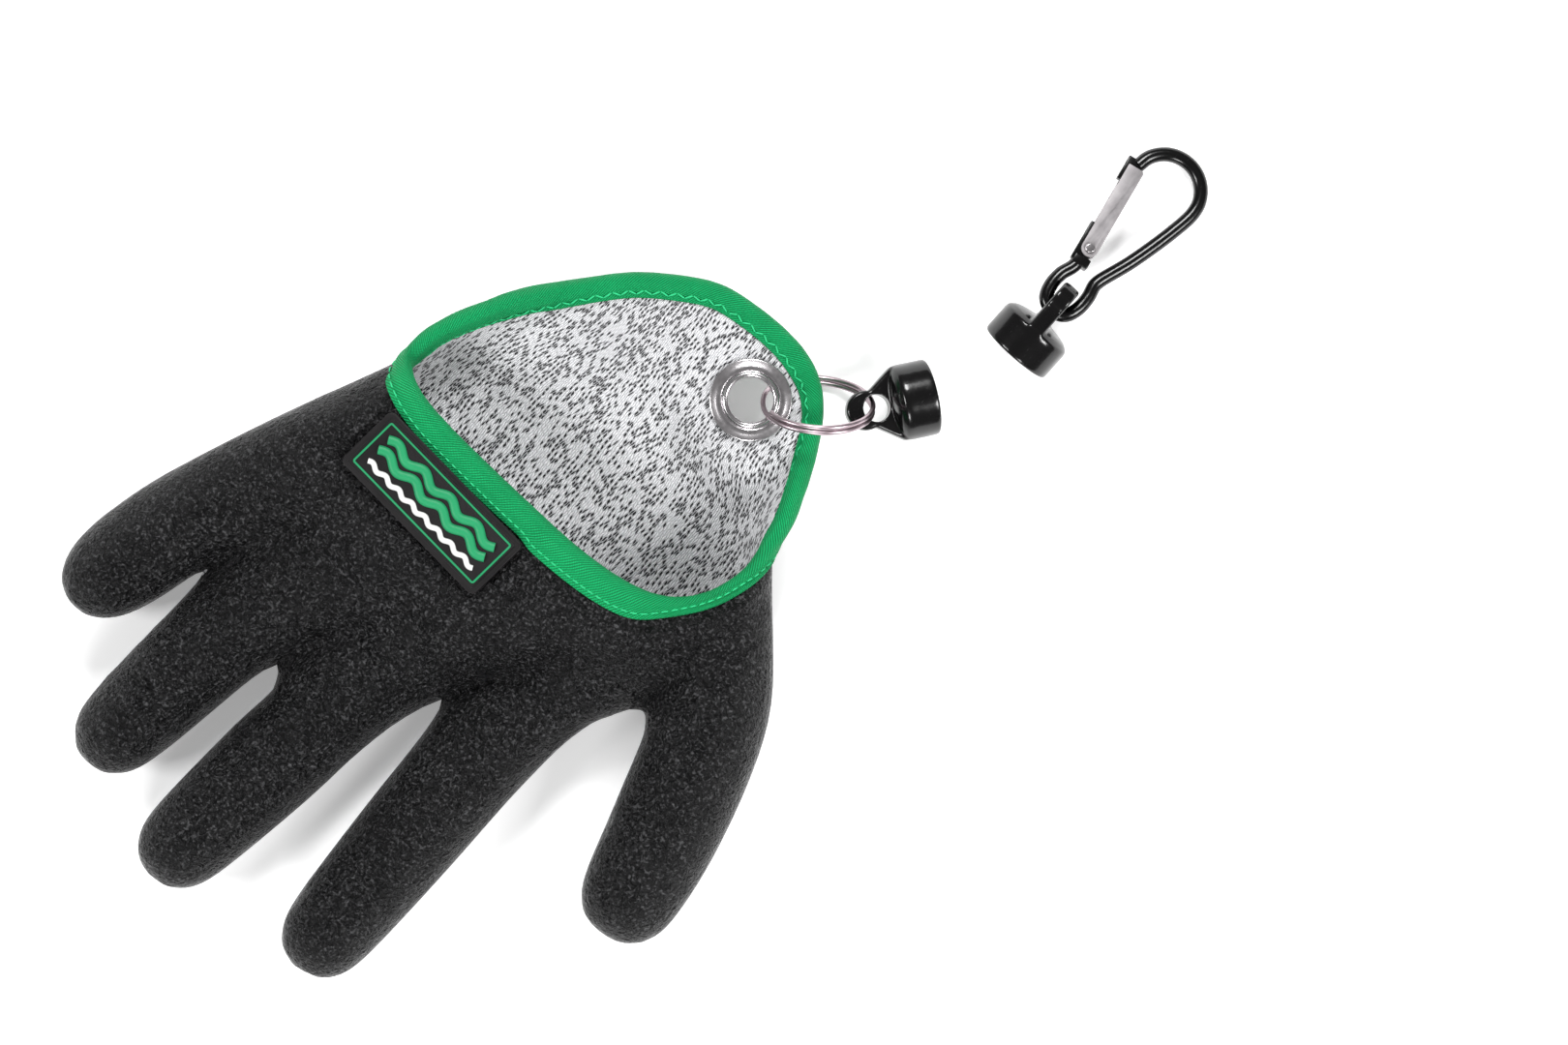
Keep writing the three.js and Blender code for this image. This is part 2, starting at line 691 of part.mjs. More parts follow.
function piece(parent, name, geometry, finish) {
  const mesh = new THREE.Mesh(geometry, finish);
  mesh.name = name;
  parent.add(mesh);
  return mesh;
}

// Coat and liner, both cut by the eyelet's barrel.
const barrelRadius = EYELET_HOLE / 2 + EYELET_WALL;
const SIDES = 20;
const punch = new THREE.CylinderGeometry(barrelRadius + FIT, barrelRadius + FIT, 40, SIDES);
punch.rotateX(Math.PI / 2);
punch.translate(eyelet.x, eyelet.y, seatHeight);
piece(glove, 'latex_coat', cutAway(wall(0, COAT_WALL), punch), LATEX);
piece(glove, 'knit_liner', cutAway(wall(COAT_WALL + FIT, WALL), punch), KNIT);

// Binding: two legs that follow the wall on both sides, joined by a roll over the rim. Its points
// lie on the skin's own facets: a rim point, or a point on an edge that leaves the rim.
function bindingGeometry() {
  const onRim = new Set(rimEdges.flat());
  const points = new Map();
  const rimId = (i) => {
    points.set(`${i}`, { rim: i, inner: i, share: 0 });
    return `${i}`;
  };
  const legId = (rim, inner) => {
    const distance = skin.points[rim].distanceTo(skin.points[inner]);
    points.set(`${rim} ${inner}`, { rim, inner, share: Math.min(0.95, BINDING_LEG / distance) });
    return `${rim} ${inner}`;
  };
  const band = [];
  for (const triangle of skinTriangles) {
    const inside = triangle.filter((i) => onRim.has(i)).length;
    if (inside === 3) {
      band.push(triangle.map(rimId));
    } else if (inside > 0) {
      const first = triangle.findIndex((i, k) => onRim.has(i) && !onRim.has(triangle[(k + 1) % 3]));
      const [a, b, c] = [0, 1, 2].map((k) => triangle[(first + k) % 3]);
      if (inside === 1) {
        band.push([rimId(a), legId(a, b), legId(a, c)]);
      } else {
        band.push([rimId(a), legId(a, b), legId(c, b)], [rimId(a), legId(c, b), rimId(c)]);
      }
    }
  }
  const outward = new Map();
  for (const [a, b] of rimEdges) {
    const edge = skin.points[b].clone().sub(skin.points[a]).normalize();
    for (const i of [a, b]) {
      const away = edge.clone().cross(skin.normals[i]);
      outward.set(i, (outward.get(i) ?? new THREE.Vector3()).add(away));
    }
  }
  outward.forEach((away) => away.normalize());

  const positions = [];
  const layer = (depth, reach, rimOnly = false) => {
    const slots = new Map();
    for (const [id, { rim, inner, share }] of points) {
      if (share > 0 && rimOnly) {
        continue;
      }
      const point = offsetPoint(rim, depth).lerp(offsetPoint(inner, depth), share);
      if (share === 0) {
        point.addScaledVector(outward.get(rim), reach);
      }
      slots.set(id, positions.length / 3);
      positions.push(...point.toArray());
    }
    return slots;
  };
  const outside = BINDING_FIT + BINDING_WALL;
  const layers = [
    layer(-outside, BINDING_FIT),
    layer(-BINDING_FIT, 0),
    layer(WALL + BINDING_FIT, 0),
    layer(WALL + outside, BINDING_FIT),
  ];
  const halfRoll = WALL / 2 + outside;
  const bulge = [
    layer(WALL / 2 - 0.55 * halfRoll, outside + 0.5, true),
    layer(WALL / 2 + 0.55 * halfRoll, outside + 0.5, true),
  ];
  const creases = [0, COAT_WALL + FIT / 2, WALL].map((depth) => layer(depth, BINDING_FIT, true));
  const triangles = [];
  for (const [a, b, c] of band) {
    [0, 2].forEach((k) => triangles.push([a, b, c].map((id) => layers[k].get(id))));
    [1, 3].forEach((k) => triangles.push([a, c, b].map((id) => layers[k].get(id))));
  }
  const strip = (upper, lower, a, b) => {
    triangles.push([upper.get(b), upper.get(a), lower.get(a)]);
    triangles.push([upper.get(b), lower.get(a), lower.get(b)]);
  };
  const lining = (upper, lower, a, b) => {
    triangles.push([upper.get(b), lower.get(a), upper.get(a)]);
    triangles.push([upper.get(b), lower.get(b), lower.get(a)]);
  };
  const edges = new Map();
  for (const [a, b, c] of band) {
    [[a, b], [b, c], [c, a]].forEach(([from, to]) => edges.set(`${from}|${to}`, [from, to]));
  }
  for (const [a, b] of edges.values()) {
    if (edges.has(`${b}|${a}`)) {
      continue;
    }
    if (points.get(a).share === 0 && points.get(b).share === 0) {
      strip(layers[0], bulge[0], a, b);
      strip(bulge[0], bulge[1], a, b);
      strip(bulge[1], layers[3], a, b);
      const inside = [layers[1], ...creases, layers[2]];
      inside.slice(1).forEach((next, k) => lining(inside[k], next, a, b));
    } else {
      strip(layers[0], layers[1], a, b);
      strip(layers[2], layers[3], a, b);
    }
  }
  return toGeometry(positions, triangles);
}
piece(glove, 'rim_binding', bindingGeometry(), WOVEN);

// Patch: a bevelled plate with a raised frame line, on its level seat.
function roundedRectangle(width, height, radius) {
  const shape = new THREE.Shape();
  const x = width / 2;
  const y = height / 2;
  shape.moveTo(-x + radius, -y);
  shape.lineTo(x - radius, -y);
  shape.quadraticCurveTo(x, -y, x, -y + radius);
  shape.lineTo(x, y - radius);
  shape.quadraticCurveTo(x, y, x - radius, y);
  shape.lineTo(-x + radius, y);
  shape.quadraticCurveTo(-x, y, -x, y - radius);
  shape.lineTo(-x, -y + radius);
  shape.quadraticCurveTo(-x, -y, -x + radius, -y);
  return shape;
}

const patchGroup = new THREE.Group();
patchGroup.position.copy(patch);
patchGroup.rotation.set(0, -Math.atan(PATCH_SLOPE), PATCH_TURN, 'ZYX');
glove.add(patchGroup);
{
  const bevel = 0.8;
  const border = 2.2;
  const outline = roundedRectangle(PATCH_LENGTH - 2 * bevel, PATCH_WIDTH - 2 * bevel, 0.8);
  const plate = new THREE.ExtrudeGeometry(outline, {
    depth: PATCH_THICKNESS - bevel,
    bevelThickness: bevel,
    bevelSize: bevel,
    bevelSegments: 1,
    curveSegments: 2,
  });
  // The lower bevel is cut off, so the plate lies flat.
  const below = new THREE.BoxGeometry(2 * PATCH_LENGTH, 2 * PATCH_WIDTH, 2 * bevel);
  below.translate(0, 0, -bevel);
  const hollow = roundedRectangle(PATCH_LENGTH - 2 * border, PATCH_WIDTH - 2 * border, 0.5);
  const field = new THREE.ExtrudeGeometry(hollow, { depth: 2, bevelEnabled: false, curveSegments: 1 });
  field.translate(0, 0, PATCH_THICKNESS - 0.6);
  const geometry = cutAway(cutAway(plate, below), field);
  geometry.translate(0, 0, FIT);
  piece(patchGroup, 'label_patch', geometry, MOULDED);
}

// Eyelet: flange and barrel in one, rolled out under the back washer.
function lathe(profile, sides) {
  const points = profile.map(([r, z]) => new THREE.Vector2(r, z));
  points.push(points[0].clone());
  const geometry = new THREE.LatheGeometry(points, sides);
  geometry.rotateX(Math.PI / 2);
  return geometry;
}

const eyeletGroup = new THREE.Group();
eyeletGroup.position.set(eyelet.x, eyelet.y, seatHeight);
glove.add(eyeletGroup);
{
  const hole = EYELET_HOLE / 2;
  const rim = EYELET_FLANGE / 2;
  const top = WALL + FIT;
  const washerTop = -FIT;
  const washerBottom = washerTop - WASHER_WALL;
  const rollTop = washerBottom - FIT;
  const rollBottom = rollTop - EYELET_WALL;
  piece(eyeletGroup, 'eyelet_flange', lathe([
    [hole, rollBottom],
    [barrelRadius + 1.7, rollBottom],
    [barrelRadius + 1.7, rollTop],
    [barrelRadius, rollTop],
    [barrelRadius, top],
    [rim - 0.3, top],
    [rim, top + 0.5],
    [rim - 0.8, top + 1.1],
    [hole + 1.9, top + 1.5],
    [hole + 0.9, top + 2.1],
    [hole, top + 1.3],
  ], SIDES), STEEL);
  piece(eyeletGroup, 'eyelet_washer', lathe([
    [barrelRadius + FIT, washerBottom],
    [rim - 1.2, washerBottom],
    [rim - 1.2, washerTop],
    [barrelRadius + FIT, washerTop],
  ], SIDES), STEEL);
}

// A round wire or rod along a curve, closed at both ends.
function rod(curve, diameter, steps, sides) {
  const section = new THREE.Shape();
  for (let k = 0; k < sides; k += 1) {
    const angle = (2 * Math.PI * k) / sides;
    const x = (diameter / 2) * Math.cos(angle);
    const y = (diameter / 2) * Math.sin(angle);
    if (k === 0) {
      section.moveTo(x, y);
    } else {
      section.lineTo(x, y);
    }
  }
  section.closePath();
  return new THREE.ExtrudeGeometry(section, { steps, extrudePath: curve, bevelEnabled: false });
}

// Split ring: two turns side by side, with a short crossing where they change sides. The angle is
// counted from the eyelet, and the ring is made flat before it is leaned.
class SplitRingCurve extends THREE.Curve {
  getPoint(t, target = new THREE.Vector3()) {
    const END_GAP = Math.PI / 5.5;
    const CROSSING = Math.PI / 7;
    const angle = lerp(END_GAP, 4 * Math.PI - END_GAP, t);
    const shift = clamp01((angle - 2 * Math.PI + CROSSING) / (2 * CROSSING));
    const height = ringPitch * (smooth(shift) - 0.5);
    return target.set(-ringRadius * Math.cos(angle), ringRadius * Math.sin(angle), height);
  }
}
// The wire passes the eyelet just inside its hole, on the side of the ring's middle.
const heading = new THREE.Vector3(Math.cos(RING_HEADING), Math.sin(RING_HEADING), 0);
const wireShift = 0.55 * (EYELET_HOLE / 2);
const ringMiddle = eyelet.clone().setZ(ringHeight);
ringMiddle.addScaledVector(heading, wireShift + ringRadius);
const ringGroup = new THREE.Group();
ringGroup.position.copy(ringMiddle);
ringGroup.rotation.set(-RING_LEAN, 0, RING_HEADING, 'ZYX');
hardware.add(ringGroup);
piece(ringGroup, 'split_ring', rod(new SplitRingCurve(), RING_WIRE, 42, 6), NICKEL);

// Clip half: a round magnet cup that tapers to a flat blade with a hole. Its face is at the
// origin, the blade points along -X, and the hole's axis is Z.
const holeFromFace = CLIP_LENGTH - CLIP_EYE_WIDTH / 2 - CLIP_HOLE_INSET;
function clipGeometry() {
  const radius = CLIP_DIAMETER / 2;
  const eye = CLIP_EYE_WIDTH / 2;
  const eyeCentre = CLIP_LENGTH - eye;
  const cup = lathe([
    [0, -eyeCentre],
    [CLIP_BLADE / 2, -eyeCentre],
    [radius, -CLIP_BASE],
    [radius, -0.4],
    [radius - 0.4, 0],
    [0, 0],
  ], 24);
  cup.rotateY(Math.PI / 2);
  const outline = new THREE.Shape();
  outline.moveTo(-CLIP_BASE + 2, -radius + 0.4);
  outline.lineTo(-CLIP_BASE, -radius + 0.4);
  outline.lineTo(-eyeCentre, -eye);
  outline.absarc(-eyeCentre, 0, eye, -Math.PI / 2, Math.PI / 2, true);
  outline.lineTo(-CLIP_BASE, radius - 0.4);
  outline.lineTo(-CLIP_BASE + 2, radius - 0.4);
  outline.closePath();
  const settings = { depth: CLIP_BLADE, bevelEnabled: false, curveSegments: 8 };
  const blade = new THREE.ExtrudeGeometry(outline, settings);
  blade.translate(0, 0, -CLIP_BLADE / 2);
  const bore = new THREE.CylinderGeometry(CLIP_HOLE / 2, CLIP_HOLE / 2, CLIP_DIAMETER, 20);
  bore.rotateX(Math.PI / 2);
  bore.translate(-holeFromFace, 0, 0);
  return cutAway(joined(cup, blade), bore);
}

// Puts a clip half with its cup's edge on the ground and its hole over a plan point.
function clipGroup(hole, headingAngle, roll) {
  const group = new THREE.Group();
  const faceHeight = (CLIP_DIAMETER / 2) * Math.cos(CLIP_TILT);
  const back = holeFromFace * Math.cos(CLIP_TILT);
  group.position.set(
    hole.x + back * Math.cos(headingAngle),
    hole.y + back * Math.sin(headingAngle),
    faceHeight,
  );
  group.rotation.set(roll, CLIP_TILT, headingAngle, 'ZYX');
  hardware.add(group);
  return group;
}

const farWire = ringMiddle.clone().addScaledVector(heading, ringRadius);
const nearHeading = new THREE.Vector3(Math.cos(NEAR_CLIP_HEADING), Math.sin(NEAR_CLIP_HEADING), 0);
const nearHole = farWire.clone().addScaledVector(nearHeading, 2.5 * FIT);
const nearClip = clipGroup(nearHole, NEAR_CLIP_HEADING, 0);
piece(nearClip, 'clip_near', clipGeometry(), GLOSSY);

// The far half lies straight ahead of the near half's face, turned to its own heading.
const nearFace = nearHole.clone().addScaledVector(nearHeading, holeFromFace);
const farFace = nearFace.clone().addScaledVector(nearHeading, CLIP_APART);
farFace.y += CLIP_ASIDE;
const farHole = farFace.clone().add(new THREE.Vector3(0, holeFromFace, 0));
const farClip = clipGroup(farHole, -Math.PI / 2, Math.PI / 2);
piece(farClip, 'clip_far', clipGeometry(), GLOSSY);

// Carabiner, drawn flat: x across, y from the small loop's bottom to the top of the large arc.
const spread = CARABINER_WIDTH / 2 - ROD / 2;
const loopHalf = CLIP_BLADE / 2 + FIT + 0.1 + ROD / 2;
const arcCentre = new THREE.Vector2(1.2, CARABINER_LENGTH - ROD - spread);
const neckHeight = holeToEnd() + ROD / 2 + 2.6;
const nose = new THREE.Vector2(arcCentre.x - spread, arcCentre.y);
const hingeEnd = new THREE.Vector2(-0.36 * spread, neckHeight + 6.4);

function holeToEnd() {
  return CLIP_LENGTH - holeFromFace;
}

function carabinerPath() {
  const points = [];
  for (let k = 0; k <= 8; k += 1) {
    const angle = Math.PI - (Math.PI * k) / 8;
    const x = arcCentre.x + spread * Math.cos(angle);
    points.push(new THREE.Vector3(x, arcCentre.y + spread * Math.sin(angle), 0));
  }
  const neck = ROD / 2 + 1.4;
  points.push(new THREE.Vector3(arcCentre.x + 0.93 * spread, lerp(neckHeight, arcCentre.y, 0.8), 0));
  points.push(new THREE.Vector3(arcCentre.x + 0.62 * spread, lerp(neckHeight, arcCentre.y, 0.36), 0));
  points.push(new THREE.Vector3(neck + 0.9, neckHeight + 1.8, 0));
  points.push(new THREE.Vector3(neck + 0.7, neckHeight, 0));
  points.push(new THREE.Vector3(loopHalf, neckHeight - 3.6, 0));
  points.push(new THREE.Vector3(loopHalf, loopHalf, 0));
  for (let k = 1; k < 4; k += 1) {
    const angle = -(Math.PI * k) / 4;
    const x = loopHalf * Math.cos(angle);
    points.push(new THREE.Vector3(x, loopHalf + loopHalf * Math.sin(angle), 0));
  }
  points.push(new THREE.Vector3(-loopHalf, loopHalf, 0));
  points.push(new THREE.Vector3(-loopHalf, neckHeight - 3.6, 0));
  points.push(new THREE.Vector3(-neck - 0.4, neckHeight, 0));
  points.push(new THREE.Vector3(hingeEnd.x, hingeEnd.y - 3.4, 0));
  return new THREE.CatmullRomCurve3(points, false, 'centripetal');
}

// Gate line from the rivet to the nose.
const rivet = new THREE.Vector2(hingeEnd.x, hingeEnd.y);
const gateVector = nose.clone().sub(rivet);
const gateAngle = Math.atan2(gateVector.y, gateVector.x);
const gateLength = gateVector.length() - 4 * FIT;

function tongue(from, to, width) {
  const length = Math.abs(to - from);
  const box = new THREE.BoxGeometry(length, width, TONGUE);
  box.translate((from + to) / 2, -(TONGUE - width) / 2, 0);
  return box;
}

// In the gate's own frame x runs from the rivet to the nose and y to the outside.
const gateMatrix = new THREE.Matrix4().makeTranslation(rivet.x, rivet.y, 0);
gateMatrix.multiply(new THREE.Matrix4().makeRotationZ(gateAngle));
const noseReach = gateVector.length();

const carabiner = new THREE.Group();
const shank = new THREE.Group();
{
  const frame = rod(carabinerPath(), ROD, 54, 8);
  const lower = moved(tongue(-4.4, 5.2, TONGUE), gateMatrix);
  const upper = moved(tongue(noseReach - 6, noseReach + 0.8, TONGUE), gateMatrix);
  const eye = new THREE.CylinderGeometry(RIVET / 2 + FIT, RIVET / 2 + FIT, 2 * ROD, 12);
  eye.rotateX(Math.PI / 2);
  piece(shank, 'carabiner_frame', cutAway(joined(frame, lower, upper), moved(eye, gateMatrix)), ENAMEL);
}
{
  // Channel: two cheeks and an inner web, open to the outside.
  const half = TONGUE / 2 + FIT;
  const outer = half + GATE_WALL;
  const cheek = new THREE.Shape();
  cheek.moveTo(0, -GATE_WIDTH / 2);
  cheek.lineTo(gateLength - 0.6, -GATE_WIDTH / 2);
  cheek.lineTo(gateLength, -GATE_WIDTH / 2 + 0.6);
  cheek.lineTo(gateLength, GATE_WIDTH / 2);
  cheek.lineTo(0, GATE_WIDTH / 2);
  cheek.absarc(0, 0, GATE_WIDTH / 2, Math.PI / 2, -Math.PI / 2, false);
  const solid = new THREE.ExtrudeGeometry(cheek, {
    depth: 2 * outer,
    bevelEnabled: false,
    curveSegments: 8,
  });
  solid.translate(0, 0, -outer);
  const slot = new THREE.BoxGeometry(gateLength + 20, GATE_WIDTH, 2 * half);
  slot.translate(gateLength / 2, GATE_WALL, 0);
  const relief = new THREE.BoxGeometry(10, 2 * GATE_WIDTH, 2 * half);
  relief.translate(-4.2, 0, 0);
  const pin = new THREE.CylinderGeometry(RIVET / 2 + FIT, RIVET / 2 + FIT, 4 * outer, 12);
  pin.rotateX(Math.PI / 2);
  const channel = cutAway(cutAway(cutAway(solid, slot), relief), pin);
  piece(shank, 'carabiner_gate', moved(channel, gateMatrix), ALUMINIUM);

  const head = RIVET / 2 + 0.7;
  const top = outer + FIT;
  const button = lathe([
    [0, -top - 0.5],
    [head - 0.3, -top - 0.5],
    [head, -top],
    [RIVET / 2, -top],
    [RIVET / 2, top],
    [head, top],
    [head - 0.3, top + 0.5],
    [0, top + 0.5],
  ], 12);
  piece(shank, 'gate_rivet', moved(button, gateMatrix), STEEL);
}

// The small loop hangs through the far clip's hole; the large arc lies on the ground.
const eyeHeight = (CLIP_DIAMETER / 2) * Math.cos(CLIP_TILT) + holeFromFace * Math.sin(CLIP_TILT);
const loopHeight = eyeHeight - CLIP_HOLE / 2 + ROD / 2 + 2 * FIT;
const slope = Math.asin((loopHeight - ROD / 2) / (CARABINER_LENGTH - ROD));
shank.rotation.x = -slope;
carabiner.add(shank);
carabiner.position.set(farHole.x, farHole.y - Math.cos(CLIP_TILT) * 0.2, loopHeight);
hardware.add(carabiner);

// The origin is on the ground, in the middle of the whole object seen from above.
const fishingGlove = new THREE.Group();
fishingGlove.name = 'fishing_glove';
const assembly = new THREE.Group();
assembly.add(glove, hardware);
fishingGlove.add(assembly);
fishingGlove.updateMatrixWorld(true);
const box = new THREE.Box3().setFromObject(fishingGlove, true);
const middle = box.getCenter(new THREE.Vector3());
assembly.position.set(-middle.x, -middle.y, -box.min.z);

export default fishingGlove;
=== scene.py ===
import logging
import math
from collections.abc import Callable, Sequence
from dataclasses import dataclass, field
from enum import Enum

import bmesh
import bpy
from bpy.types import Material, NodeSocket, Object
from mathutils import Matrix, Vector, noise
from mathutils.bvhtree import BVHTree


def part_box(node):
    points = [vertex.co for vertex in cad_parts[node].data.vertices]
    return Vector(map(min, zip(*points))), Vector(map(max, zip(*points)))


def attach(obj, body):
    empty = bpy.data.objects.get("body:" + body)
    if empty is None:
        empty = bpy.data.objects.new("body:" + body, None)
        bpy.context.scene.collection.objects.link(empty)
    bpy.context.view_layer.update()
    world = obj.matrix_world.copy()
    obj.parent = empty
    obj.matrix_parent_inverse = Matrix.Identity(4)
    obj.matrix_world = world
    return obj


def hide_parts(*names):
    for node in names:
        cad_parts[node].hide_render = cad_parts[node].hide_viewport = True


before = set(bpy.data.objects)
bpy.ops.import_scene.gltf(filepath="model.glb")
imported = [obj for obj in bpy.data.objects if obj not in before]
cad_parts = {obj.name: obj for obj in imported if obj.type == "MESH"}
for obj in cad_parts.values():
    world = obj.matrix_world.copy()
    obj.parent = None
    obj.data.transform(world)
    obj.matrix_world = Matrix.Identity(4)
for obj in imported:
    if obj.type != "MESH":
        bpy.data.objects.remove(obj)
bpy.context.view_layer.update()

LOG = logging.getLogger("fishing_glove")
MM = 0.001
HALF_WALL = 1.3 * MM
Pair = tuple[float, float]
Triple = tuple[float, float, float]
SeamPoint = tuple[Vector, Vector]


class Body(Enum):
    """The moving bodies of the frame."""

    GLOVE = "glove"
    GATE = "gate"


# Working with objects


def deselect_all() -> None:
    """Leaves edit mode and deselects every object."""
    active = bpy.context.view_layer.objects.active
    if active is not None and active.mode != "OBJECT":
        bpy.ops.object.mode_set(mode="OBJECT")
    bpy.ops.object.select_all(action="DESELECT")


def make_active(piece: Object) -> Object:
    """Selects one object alone, makes it active and returns it.

    Args:
        piece: The mesh object.

    Returns:
        The same object.
    """
    deselect_all()
    piece.select_set(True)
    bpy.context.view_layer.objects.active = piece
    return piece


def edit_all(piece: Object) -> None:
    """Opens a piece in edit mode with all of it selected.

    Args:
        piece: The mesh object.
    """
    make_active(piece)
    bpy.ops.object.mode_set(mode="EDIT")
    bpy.ops.mesh.select_all(action="SELECT")


def close_edit() -> None:
    """Goes back to object mode."""
    bpy.ops.object.mode_set(mode="OBJECT")


def apply_modifiers(piece: Object) -> Object:
    """Applies every modifier of a piece in order and returns it.

    Args:
        piece: The mesh object.

    Returns:
        The same object.
    """
    make_active(piece)
    for modifier in list(piece.modifiers):
        bpy.ops.object.modifier_apply(modifier=modifier.name)
    return piece


def subdivide(piece: Object, levels: int) -> Object:
    """Adds and applies a subdivision surface and returns the piece.

    Args:
        piece: The mesh object.
        levels: Levels of subdivision.

    Returns:
        The same object.
    """
    modifier = piece.modifiers.new("Subdivision", "SUBSURF")
    modifier.levels = levels
    modifier.render_levels = levels
    return apply_modifiers(piece)


def bevel(piece: Object, width: float, segments: int = 2, angle: float = 30.0) -> Object:
    """Rounds the sharp edges of a piece.

    Args:
        piece: The mesh object.
        width: Width of the bevel in metres.
        segments: Number of segments in the bevel.
        angle: Least angle of an edge that is rounded, in degrees.

    Returns:
        The same object.
    """
    modifier = piece.modifiers.new("Bevel", "BEVEL")
    modifier.width = width
    modifier.segments = segments
    modifier.limit_method = "ANGLE"
    modifier.angle_limit = math.radians(angle)
    modifier.harden_normals = False
    return apply_modifiers(piece)


def smooth_by_angle(piece: Object, angle: float = 35.0) -> Object:
    """Shades a piece smooth up to an angle in degrees and returns it.

    Args:
        piece: The mesh object.
        angle: Greatest angle that is shaded smooth, in degrees.

    Returns:
        The same object.
    """
    make_active(piece)
    bpy.ops.object.shade_smooth_by_angle(angle=math.radians(angle))
    return piece


def name_piece(piece: Object, name: str) -> Object:
    """Names an object and its mesh and returns it.

    Args:
        piece: The mesh object.
        name: The new name.

    Returns:
        The same object.
    """
    piece.name = name
    piece.data.name = name
    return piece


def settle(piece: Object, matrix: Matrix | None = None) -> Object:
    """Moves a piece's place into its mesh, so that its object sits at the origin.

    Args:
        piece: The mesh object.
        matrix: A further placement of the mesh in the frame, or None.

    Returns:
        The same object.
    """
    make_active(piece)
    bpy.ops.object.transform_apply(location=True, rotation=True, scale=True)
    if matrix is not None:
        piece.data.transform(matrix)
        piece.data.update()
    return piece


def mend_normals(piece: Object, merge: float = 1e-6) -> Object:
    """Merges doubles, turns all faces outwards and returns the piece.

    Args:
        piece: The mesh object.
        merge: Distance under which vertices are merged, in metres.

    Returns:
        The same object.
    """
    edit_all(piece)
    bpy.ops.mesh.remove_doubles(threshold=merge)
    bpy.ops.mesh.normals_make_consistent(inside=False)
    close_edit()
    return piece


def joined(pieces: Sequence[Object], name: str) -> Object:
    """Joins pieces into the first one and returns it under a new name.

    Args:
        pieces: The mesh objects, the first of which stays.
        name: Name of the piece.

    Returns:
        The joined object.
    """
    make_active(pieces[0])
    for piece in pieces:
        piece.select_set(True)
    if len(pieces) > 1:
        bpy.ops.object.join()
    return name_piece(bpy.context.view_layer.objects.active, name)


def mesh_object(name: str, points: Sequence[Vector], faces: Sequence[Sequence[int]]) -> Object:
    """Makes a mesh object from points and faces.

    Args:
        name: Name of the piece.
        points: The points, in metres.
        faces: The corners of each face, as indices.

    Returns:
        The mesh object.
    """
    mesh = bpy.data.meshes.new(name)
    mesh.from_pydata([tuple(point) for point in points], [], [tuple(face) for face in faces])
    mesh.update()
    piece = bpy.data.objects.new(name, mesh)
    bpy.context.scene.collection.objects.link(piece)
    return piece


def copied(piece: Object, name: str) -> Object:
    """Copies a piece with a mesh of its own.

    Args:
        piece: The mesh object.
        name: Name of the copy.

    Returns:
        The copy.
    """
    copy = bpy.data.objects.new(name, piece.data.copy())
    bpy.context.scene.collection.objects.link(copy)
    return name_piece(copy, name)


def merged_copy(node: str, name: str, quads: bool = True, flats: bool = False) -> Object:
    """Copies a node's mesh, merges its loose triangles and pairs them into quads.

    Args:
        node: Name of the node in the frame.
        name: Name of the new piece.
        quads: Whether the triangles are paired.
        flats: Whether flat areas become single faces instead.

    Returns:
        The new object.
    """
    piece = copied(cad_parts[node], name)
    piece.data.materials.clear()
    edit_all(piece)
    bpy.ops.mesh.remove_doubles(threshold=2e-6)
    if quads:
        limit = math.radians(50.0)
        bpy.ops.mesh.tris_convert_to_quads(face_threshold=limit, shape_threshold=limit)
    elif flats:
        bpy.ops.mesh.dissolve_limited(angle_limit=math.radians(1.0))
    close_edit()
    return piece


def tube(
    name: str, points: Sequence[Vector], radius: float, sides: int = 12, closed: bool = False
) -> Object:
    """Makes a round rod along a line of points, with closed ends.

    Args:
        name: Name of the piece.
        points: The line, in metres.
        radius: Radius of the rod in metres.
        sides: Faces round the rod, a multiple of four.
        closed: Whether the line ends where it starts.

    Returns:
        The mesh object.
    """
    deselect_all()
    bpy.ops.curve.primitive_bezier_curve_add()
    piece = name_piece(bpy.context.view_layer.objects.active, name)
    curve = piece.data
    curve.splines.clear()
    spline = curve.splines.new("POLY")
    spline.points.add(len(points) - 1)
    for slot, point in zip(spline.points, points):
        slot.co = (*point, 1.0)
    spline.use_cyclic_u = closed
    curve.dimensions = "3D"
    curve.bevel_depth = radius
    curve.bevel_resolution = max(0, sides // 2 - 2)
    curve.use_fill_caps = not closed
    curve.twist_mode = "MINIMUM"
    make_active(piece)
    bpy.ops.object.convert(target="MESH")
    piece = name_piece(bpy.context.view_layer.objects.active, name)
    return smooth_by_angle(mend_normals(piece, 1e-7), 50.0)


def turned(name: str, profile: Sequence[Pair], steps: int = 64) -> Object:
    """Turns a closed profile round the Z axis.

    Args:
        name: Name of the piece.
        profile: Radius and height of each corner, in metres, in order.
        steps: Faces round the axis.

    Returns:
        The mesh object.
    """
    count = len(profile)
    mesh = bpy.data.meshes.new(name)
    edges = [(k, (k + 1) % count) for k in range(count)]
    mesh.from_pydata([(radius, 0.0, height) for radius, height in profile], edges, [])
    piece = bpy.data.objects.new(name, mesh)
    bpy.context.scene.collection.objects.link(piece)
    edit_all(piece)
    bpy.ops.mesh.spin(steps=steps, angle=2.0 * math.pi, center=(0, 0, 0), axis=(0, 0, 1))
    bpy.ops.mesh.select_all(action="SELECT")
    bpy.ops.mesh.remove_doubles(threshold=1e-6)
    bpy.ops.mesh.normals_make_consistent(inside=False)
    close_edit()
    return smooth_by_angle(piece, 40.0)


